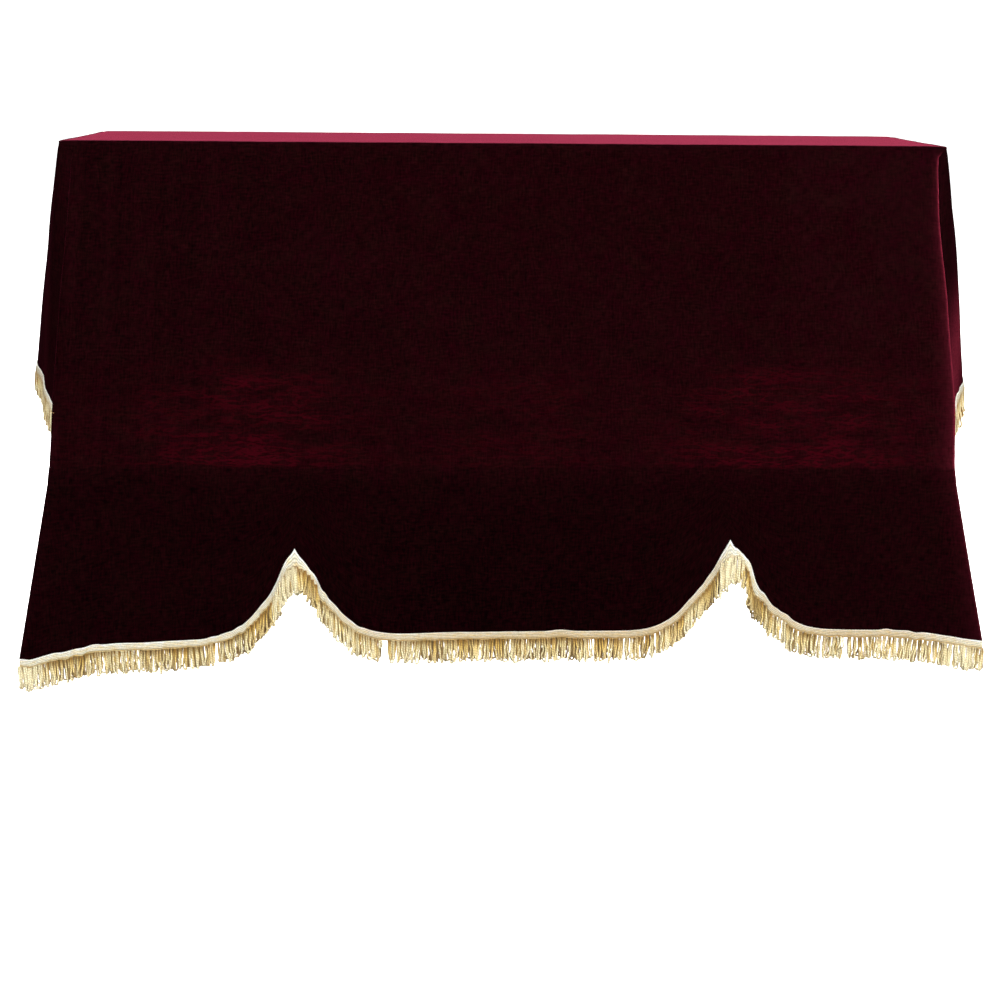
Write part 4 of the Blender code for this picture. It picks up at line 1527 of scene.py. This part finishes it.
# Stretches of the front trim that are golder, paler below zero, and painted in shade above 1
SHADES = table(
    "x half_width depth",
    (-0.795, 0.070, -0.60), (-0.650, 0.090, -0.50), (-0.470, 0.050, -0.40),
    (-0.405, 0.032, 1.15), (-0.326, 0.024, 1.60), (-0.262, 0.020, -0.40), (0.350, 0.018, 1.30),
    (0.419, 0.024, 1.80), (0.465, 0.022, -0.50), (0.760, 0.060, -0.45))

# How loops drift in length, in gold and in lean along the trim, each with its waves' length
REACH_DRIFT, REACH_DRIFT_LENGTH = 0.055, 0.035
SHADE_DRIFT, SHADE_DRIFT_LENGTH = 0.75, 0.030
CLUMP_LEAN, CLUMP_LENGTH = 0.15, 0.022

SIDE_SHADE = -0.35
LEAST_SHADOW = 0.30
FLANK_REACH = 0.06
TIP_SPREAD = -0.13
TIP_SPREAD_WIDTH = 0.05
TIP_SPREAD_FADE = 1.6
ROOT_DEPTH = 0.0010
ROOT_LIFT = HEADING_THICK * 0.30


def loop_looks(line, pointed):
    """What the loops at each station are like: there or not, how long and how leaning."""
    fill = np.ones(len(line.points))
    reach = 1.0 + REACH_DRIFT * drift(line, REACH_DRIFT_LENGTH, 0.7, 2.0)
    shade = drift(line, SHADE_DRIFT_LENGTH, 8.7, 2.0) * SHADE_DRIFT
    along = np.gradient(line.points, axis=0)
    along[:, 2] = 0.0
    along /= np.linalg.norm(along, axis=1, keepdims=True)
    lean = along * (drift(line, CLUMP_LENGTH, 4.7, 2.0) * CLUMP_LEAN)[:, None]
    if pointed:
        reach *= 1 + FLANK_REACH * steepness(line)
        x = line.points[:, 0]
        for bare in BARE:
            fill = np.where(np.abs(x - bare.x) < bare.half_width, 0.0, fill)
        for point in POINTS:
            offset = (x - point.x) / TIP_SPREAD_WIDTH
            fade = np.exp(-offset ** 2 * TIP_SPREAD_FADE)
            lean += along * (TIP_SPREAD * offset * fade)[:, None]
        shade += np.array([hump(SHADES, place, "depth") for place in x])
    else:
        shade += SIDE_SHADE
    return {"fill": fill, "reach": reach, "lean": lean, "outward": line.outs,
            "shade": shade}


def loop_runs(line, pointed, pitch):
    """The lines that loops hang from, and what their loops are like."""
    looks = loop_looks(line, pointed)
    height = braid_height(line, pointed)
    foot = line.points + line.downs * (height[:, None] - ROOT_DEPTH)
    foot += line.outs * (STAND_OFF + ROOT_LIFT)
    runs, parts = [], {key: [] for key in looks}

    def add(points, near, reach, shade, fade=0):
        runs.append(points)
        for key, values in looks.items():
            values = values[near]
            if key == "reach":
                values = values * reach
            elif key == "shade":
                values = values + shade * np.clip(1 + values, LEAST_SHADOW, 1.0) ** fade
            parts[key].append(values)

    everywhere = np.arange(len(line.points))
    for i, row in enumerate(LOOP_ROWS):
        near = everywhere[line.lengths >= i * pitch / len(LOOP_ROWS)]
        add(foot[near] - line.outs[near] * row.behind, near, row.reach, row.shade, 1)
    for bunch in BUNCHES if pointed else ():
        near = everywhere[np.abs(line.points[:, 0] - bunch.x) < bunch.half_width]
        points = foot[near] + line.outs[near] * bunch.front - line.downs[near] * bunch.rise
        add(points, near, bunch.reach, bunch.shade)
    return runs, {key: np.concatenate(values) for key, values in parts.items()}


def line_mesh(name, runs, attributes):
    """Open lines of points with named attributes, for a node tree to follow."""
    vertices, edges = [], []
    for run in runs:
        first = len(vertices)
        vertices += run.tolist()
        edges += [(i, i + 1) for i in range(first, len(vertices) - 1)]
    mesh = bpy.data.meshes.new(name)
    mesh.from_pydata(vertices, edges, [])
    set_values(mesh, attributes)
    return link(name, mesh)


def grow(line, tree, values, name):
    """Run a node tree on a line and keep the result as a plain mesh."""
    modifier = line.modifiers.new("grow", "NODES")
    modifier.node_group = tree
    sockets = {item.name: item.identifier for item in tree.interface.items_tree
               if item.item_type == "SOCKET" and item.in_out == "INPUT"}
    for key, value in values.items():
        modifier[sockets[key]] = value
    graph = bpy.context.evaluated_depsgraph_get()
    mesh = bpy.data.meshes.new_from_object(line.evaluated_get(graph))
    if not mesh.polygons:
        raise RuntimeError(f"{name}: the node tree made no faces")
    mesh.name = name
    old = line.data
    bpy.data.objects.remove(line, do_unlink=True)
    bpy.data.meshes.remove(old)
    return link(name, mesh)


# ---------------------------------------------------------------- operators

SURFACES = {}
FINISHES = {}
PLACES = ("front", "left", "right")

STITCH_PITCH = STITCH_LENGTH = 0.0026
STITCH_THREAD = 0.0009
STITCH_SLANT = 1.25
STITCH_DROP = 0.0005
STITCH_LIFT = (STAND_OFF + HEADING_THICK * 0.95) * 0.75


def surface(place):
    """The cloth surface of a panel, worked out once."""
    if place not in SURFACES:
        cloth = bpy.context.scene.cover_cloth
        SURFACES[place] = {"front": lambda: main_surface(cloth),
                           "left": lambda: side_surface(-1, LEFT_RIBS, cloth),
                           "right": lambda: side_surface(1, RIGHT_RIBS, cloth)}[place]()
    return SURFACES[place]


def hem_line(place):
    """The line that the trim of a panel follows."""
    points, hem = surface(place).points, surface(place).hem
    if place != "front":
        points = points[:, len(ALLOWANCE):-len(ALLOWANCE)]
    return trim_line(points, grid_normals(points), hem)


class COVER_OT_main_panel(bpy.types.Operator):
    """Make the main panel, from its back hem over the top to the scalloped flap"""
    bl_idname = "cover.main_panel"
    bl_label = "Main Panel"

    def execute(self, context):
        cloth_mesh("velvet_main_panel", surface("front"), "velvet")
        return {"FINISHED"}


class COVER_OT_side_panels(bpy.types.Operator):
    """Make the two side panels that are sewn between the top, the back and the front"""
    bl_idname = "cover.side_panels"
    bl_label = "Side Panels"

    def execute(self, context):
        for place in PLACES[1:]:
            cloth_mesh(f"velvet_side_{place}", surface(place), "velvet_cross")
        return {"FINISHED"}


class COVER_OT_braid(bpy.types.Operator):
    """Make the braid that heads the fringe on the flap and both side hems"""
    bl_idname = "cover.braid"
    bl_label = "Braid"

    def execute(self, context):
        for place in PLACES:
            braid_mesh(f"braid_{place}", hem_line(place), place == "front")
        return {"FINISHED"}


class COVER_OT_loops(bpy.types.Operator):
    """Make the looped fringe that hangs from the braid"""
    bl_idname = "cover.loops"
    bl_label = "Loops"

    def execute(self, context):
        trim = context.scene.cover_trim
        for offset, place in enumerate(PLACES):
            runs, looks = loop_runs(hem_line(place), place == "front", trim.pitch)
            grow(line_mesh(f"runner_{place}", runs, looks), group(yarn_loops),
                 {"Pitch": trim.pitch, "Loop Length": trim.loop_length,
                  "Loop Width": trim.loop_width, "Yarn Thickness": trim.yarn,
                  "Unevenness": trim.unevenness, "Sway": trim.sway,
                  "Seed": trim.seed + offset, "Yarn": finish("fringe_yarn")},
                 f"loops_{place}")
        return {"FINISHED"}


class COVER_OT_stitches(bpy.types.Operator):
    """Make the stitches that hold the braid"""
    bl_idname = "cover.stitches"
    bl_label = "Stitches"

    def execute(self, context):
        for place in PLACES:
            line = hem_line(place)
            top = line.points + line.downs * STITCH_DROP + line.outs * STITCH_LIFT
            runner = line_mesh(f"stitch_line_{place}", [top], {"outward": line.outs})
            grow(runner, group(stitch_row),
                 {"Pitch": STITCH_PITCH, "Stitch Length": STITCH_LENGTH,
                  "Thread": STITCH_THREAD, "Slant": STITCH_SLANT,
                  "Yarn": finish("sewing_thread")}, f"braid_stitches_{place}")
        return {"FINISHED"}


class COVER_OT_hand_over(bpy.types.Operator):
    """Attach every finished piece to the root body"""
    bl_idname = "cover.hand_over"
    bl_label = "Hand Over"

    def execute(self, context):
        main = keep("velvet_main_panel", "velvet", "main_panel")
        sides = {place: keep(f"velvet_side_{place}", "velvet", f"side_panel_{place}")
                 for place in PLACES[1:]}
        trims = {place: [keep(f"braid_{place}", "heading_yarn", f"fringe_heading_{place}"),
                         keep(f"loops_{place}", "fringe_yarn", f"fringe_loops_{place}"),
                         keep(f"braid_stitches_{place}", "heading_yarn")]
                 for place in PLACES}
        return {"FINISHED"}


CAMERA_PLACE = (-0.0855, -3.1187, 0.1421)
CAMERA_YAW = 0.0285
CAMERA_PITCH = 0.2567
CAMERA_ROLL = 0.0085
SENSOR_WIDTH = 36.0

FLOOR_Z = -1.2385
FLOOR_HALF = 9.0
SWEEP_START = 3.2
SWEEP_RADIUS = 2.2
SWEEP_FIRST_ANGLE, SWEEP_STEPS = 0.1, 12
BACKDROP_TOP = 8.0

# Soft lights: where each stands, what it faces, its width and height, and its power's name
LIGHTS = table(
    "name place target size power",
    ("top_light", (0.1, -0.2, 3.0), (0.1, 0.0, -0.4), (1.2, 2.6), "top_power"),
    ("key_light", (0.2, -4.2, 2.6), (0.1, -0.3, -0.5), (1.6, 1.8), "key_power"),
    ("left_light", (-3.4, -2.6, 0.9), (-0.6, -0.2, -0.4), (1.6, 2.4), "left_power"),
    ("right_light", (3.4, -2.6, 0.9), (0.6, -0.2, -0.4), (1.6, 2.4), "right_power"),
    ("back_light", (0.0, 4.2, 1.5), (0.0, 0.0, -0.1), (1.2, 2.2), "back_power"))


def floor_finish(stage):
    """Matt paint that the camera sees lifted towards white."""
    material, tree = new_material("floor_paint")
    shader = tree.nodes["Principled BSDF"]
    for key, value in (("Base Color", opaque(stage.floor_colour)), ("Roughness", 0.9),
                       ("Specular IOR Level", 0.0)):
        shader.inputs[key].default_value = value
    dim = node(tree, "ShaderNodeBsdfDiffuse", Color=opaque(stage.bounce_colour))
    bright = node(tree, "ShaderNodeEmission", Strength=stage.floor_glow)
    seen = node(tree, "ShaderNodeAddShader", Wire(shader.outputs[0]), bright)
    camera = node(tree, "ShaderNodeLightPath", output="Is Camera Ray")
    plug(tree.nodes["Material Output"].inputs["Surface"],
         node(tree, "ShaderNodeMixShader", camera, dim, seen))
    return material


def make_floor(stage):
    """Floor swept up into a backdrop."""
    profile = [(-FLOOR_HALF, 0.0), (SWEEP_START, 0.0)]
    profile += [(SWEEP_START + SWEEP_RADIUS * math.sin(a), SWEEP_RADIUS * (1 - math.cos(a)))
                for a in np.linspace(SWEEP_FIRST_ANGLE, math.pi / 2, SWEEP_STEPS)]
    profile.append((SWEEP_START + SWEEP_RADIUS, BACKDROP_TOP))
    vertices = [(x, y, FLOOR_Z + z) for y, z in profile for x in (-FLOOR_HALF, FLOOR_HALF)]
    faces = [(2 * i, 2 * i + 1, 2 * i + 3, 2 * i + 2) for i in range(len(profile) - 1)]
    mesh = new_mesh("floor", vertices, faces, floor_finish(stage))
    link("floor", mesh)


def make_room(scene, stage):
    """An even white light that is brighter to the camera."""
    scene.world = bpy.data.worlds.new("room")
    scene.world.use_nodes = True
    tree = scene.world.node_tree
    sky = tree.nodes["Background"].inputs
    sky["Color"].default_value = (1.0, 1.0, 1.0, 1.0)
    camera = node(tree, "ShaderNodeLightPath", output="Is Camera Ray")
    plug(sky["Strength"], node(tree, "ShaderNodeMapRange", Value=camera, To_Min=stage.ambient,
                               To_Max=1.0))


class COVER_OT_stage(bpy.types.Operator):
    """Make the floor, the soft studio light and the camera"""
    bl_idname = "cover.stage"
    bl_label = "Stage"

    def execute(self, context):
        scene, stage = context.scene, context.scene.cover_stage
        scene.view_settings.view_transform = "Standard"
        make_floor(stage)
        make_room(scene, stage)
        for row in LIGHTS:
            light = bpy.data.lights.new(row.name, "AREA")
            light.shape = "RECTANGLE"
            light.size, light.size_y = row.size
            light.energy = getattr(stage, row.power)
            lamp = link(row.name, light)
            lamp.location = row.place
            aim = Vector(row.target) - Vector(row.place)
            lamp.rotation_euler = aim.to_track_quat("-Z", "Y").to_euler()

        camera = bpy.data.cameras.new("camera")
        camera.sensor_width = SENSOR_WIDTH
        camera.lens = stage.lens
        scene.camera = link("camera", camera)
        turn = (Matrix.Rotation(-CAMERA_YAW, 4, "Z")
                @ Matrix.Rotation(math.pi / 2 - CAMERA_PITCH, 4, "X")
                @ Matrix.Rotation(CAMERA_ROLL, 4, "Z"))
        scene.camera.matrix_world = Matrix.Translation(CAMERA_PLACE) @ turn
        return {"FINISHED"}


class COVER_PT_panel(bpy.types.Panel):
    """Settings and makers of the piano cover"""
    bl_idname = "COVER_PT_panel"
    bl_label = "Piano Cover"
    bl_space_type = "VIEW_3D"
    bl_region_type = "UI"
    bl_category = "Piano Cover"

    def draw(self, context):
        for name, title in (("cover_cloth", "Velvet"), ("cover_trim", "Trim"),
                            ("cover_stage", "Stage")):
            box = self.layout.box()
            box.label(text=title)
            settings = getattr(context.scene, name)
            for key in settings.__annotations__:
                box.prop(settings, key)
        for maker in MAKERS:
            self.layout.operator(maker.bl_idname)


SETTINGS = {"cover_cloth": CoverCloth, "cover_trim": CoverTrim, "cover_stage": CoverStage}
MAKERS = (COVER_OT_main_panel, COVER_OT_side_panels, COVER_OT_braid, COVER_OT_loops,
          COVER_OT_stitches, COVER_OT_hand_over, COVER_OT_stage)


def register():
    for kind in (*SETTINGS.values(), *MAKERS, COVER_PT_panel):
        bpy.utils.register_class(kind)
    for name, kind in SETTINGS.items():
        setattr(bpy.types.Scene, name, bpy.props.PointerProperty(type=kind))


def unregister():
    for name in SETTINGS:
        delattr(bpy.types.Scene, name)
    for kind in (COVER_PT_panel, *reversed(MAKERS), *SETTINGS.values()):
        bpy.utils.unregister_class(kind)


def main():
    register()
    for maker in MAKERS:
        area, name = maker.bl_idname.split(".")
        getattr(getattr(bpy.ops, area), name)()
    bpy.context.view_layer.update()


if __name__ == "__main__":
    main()
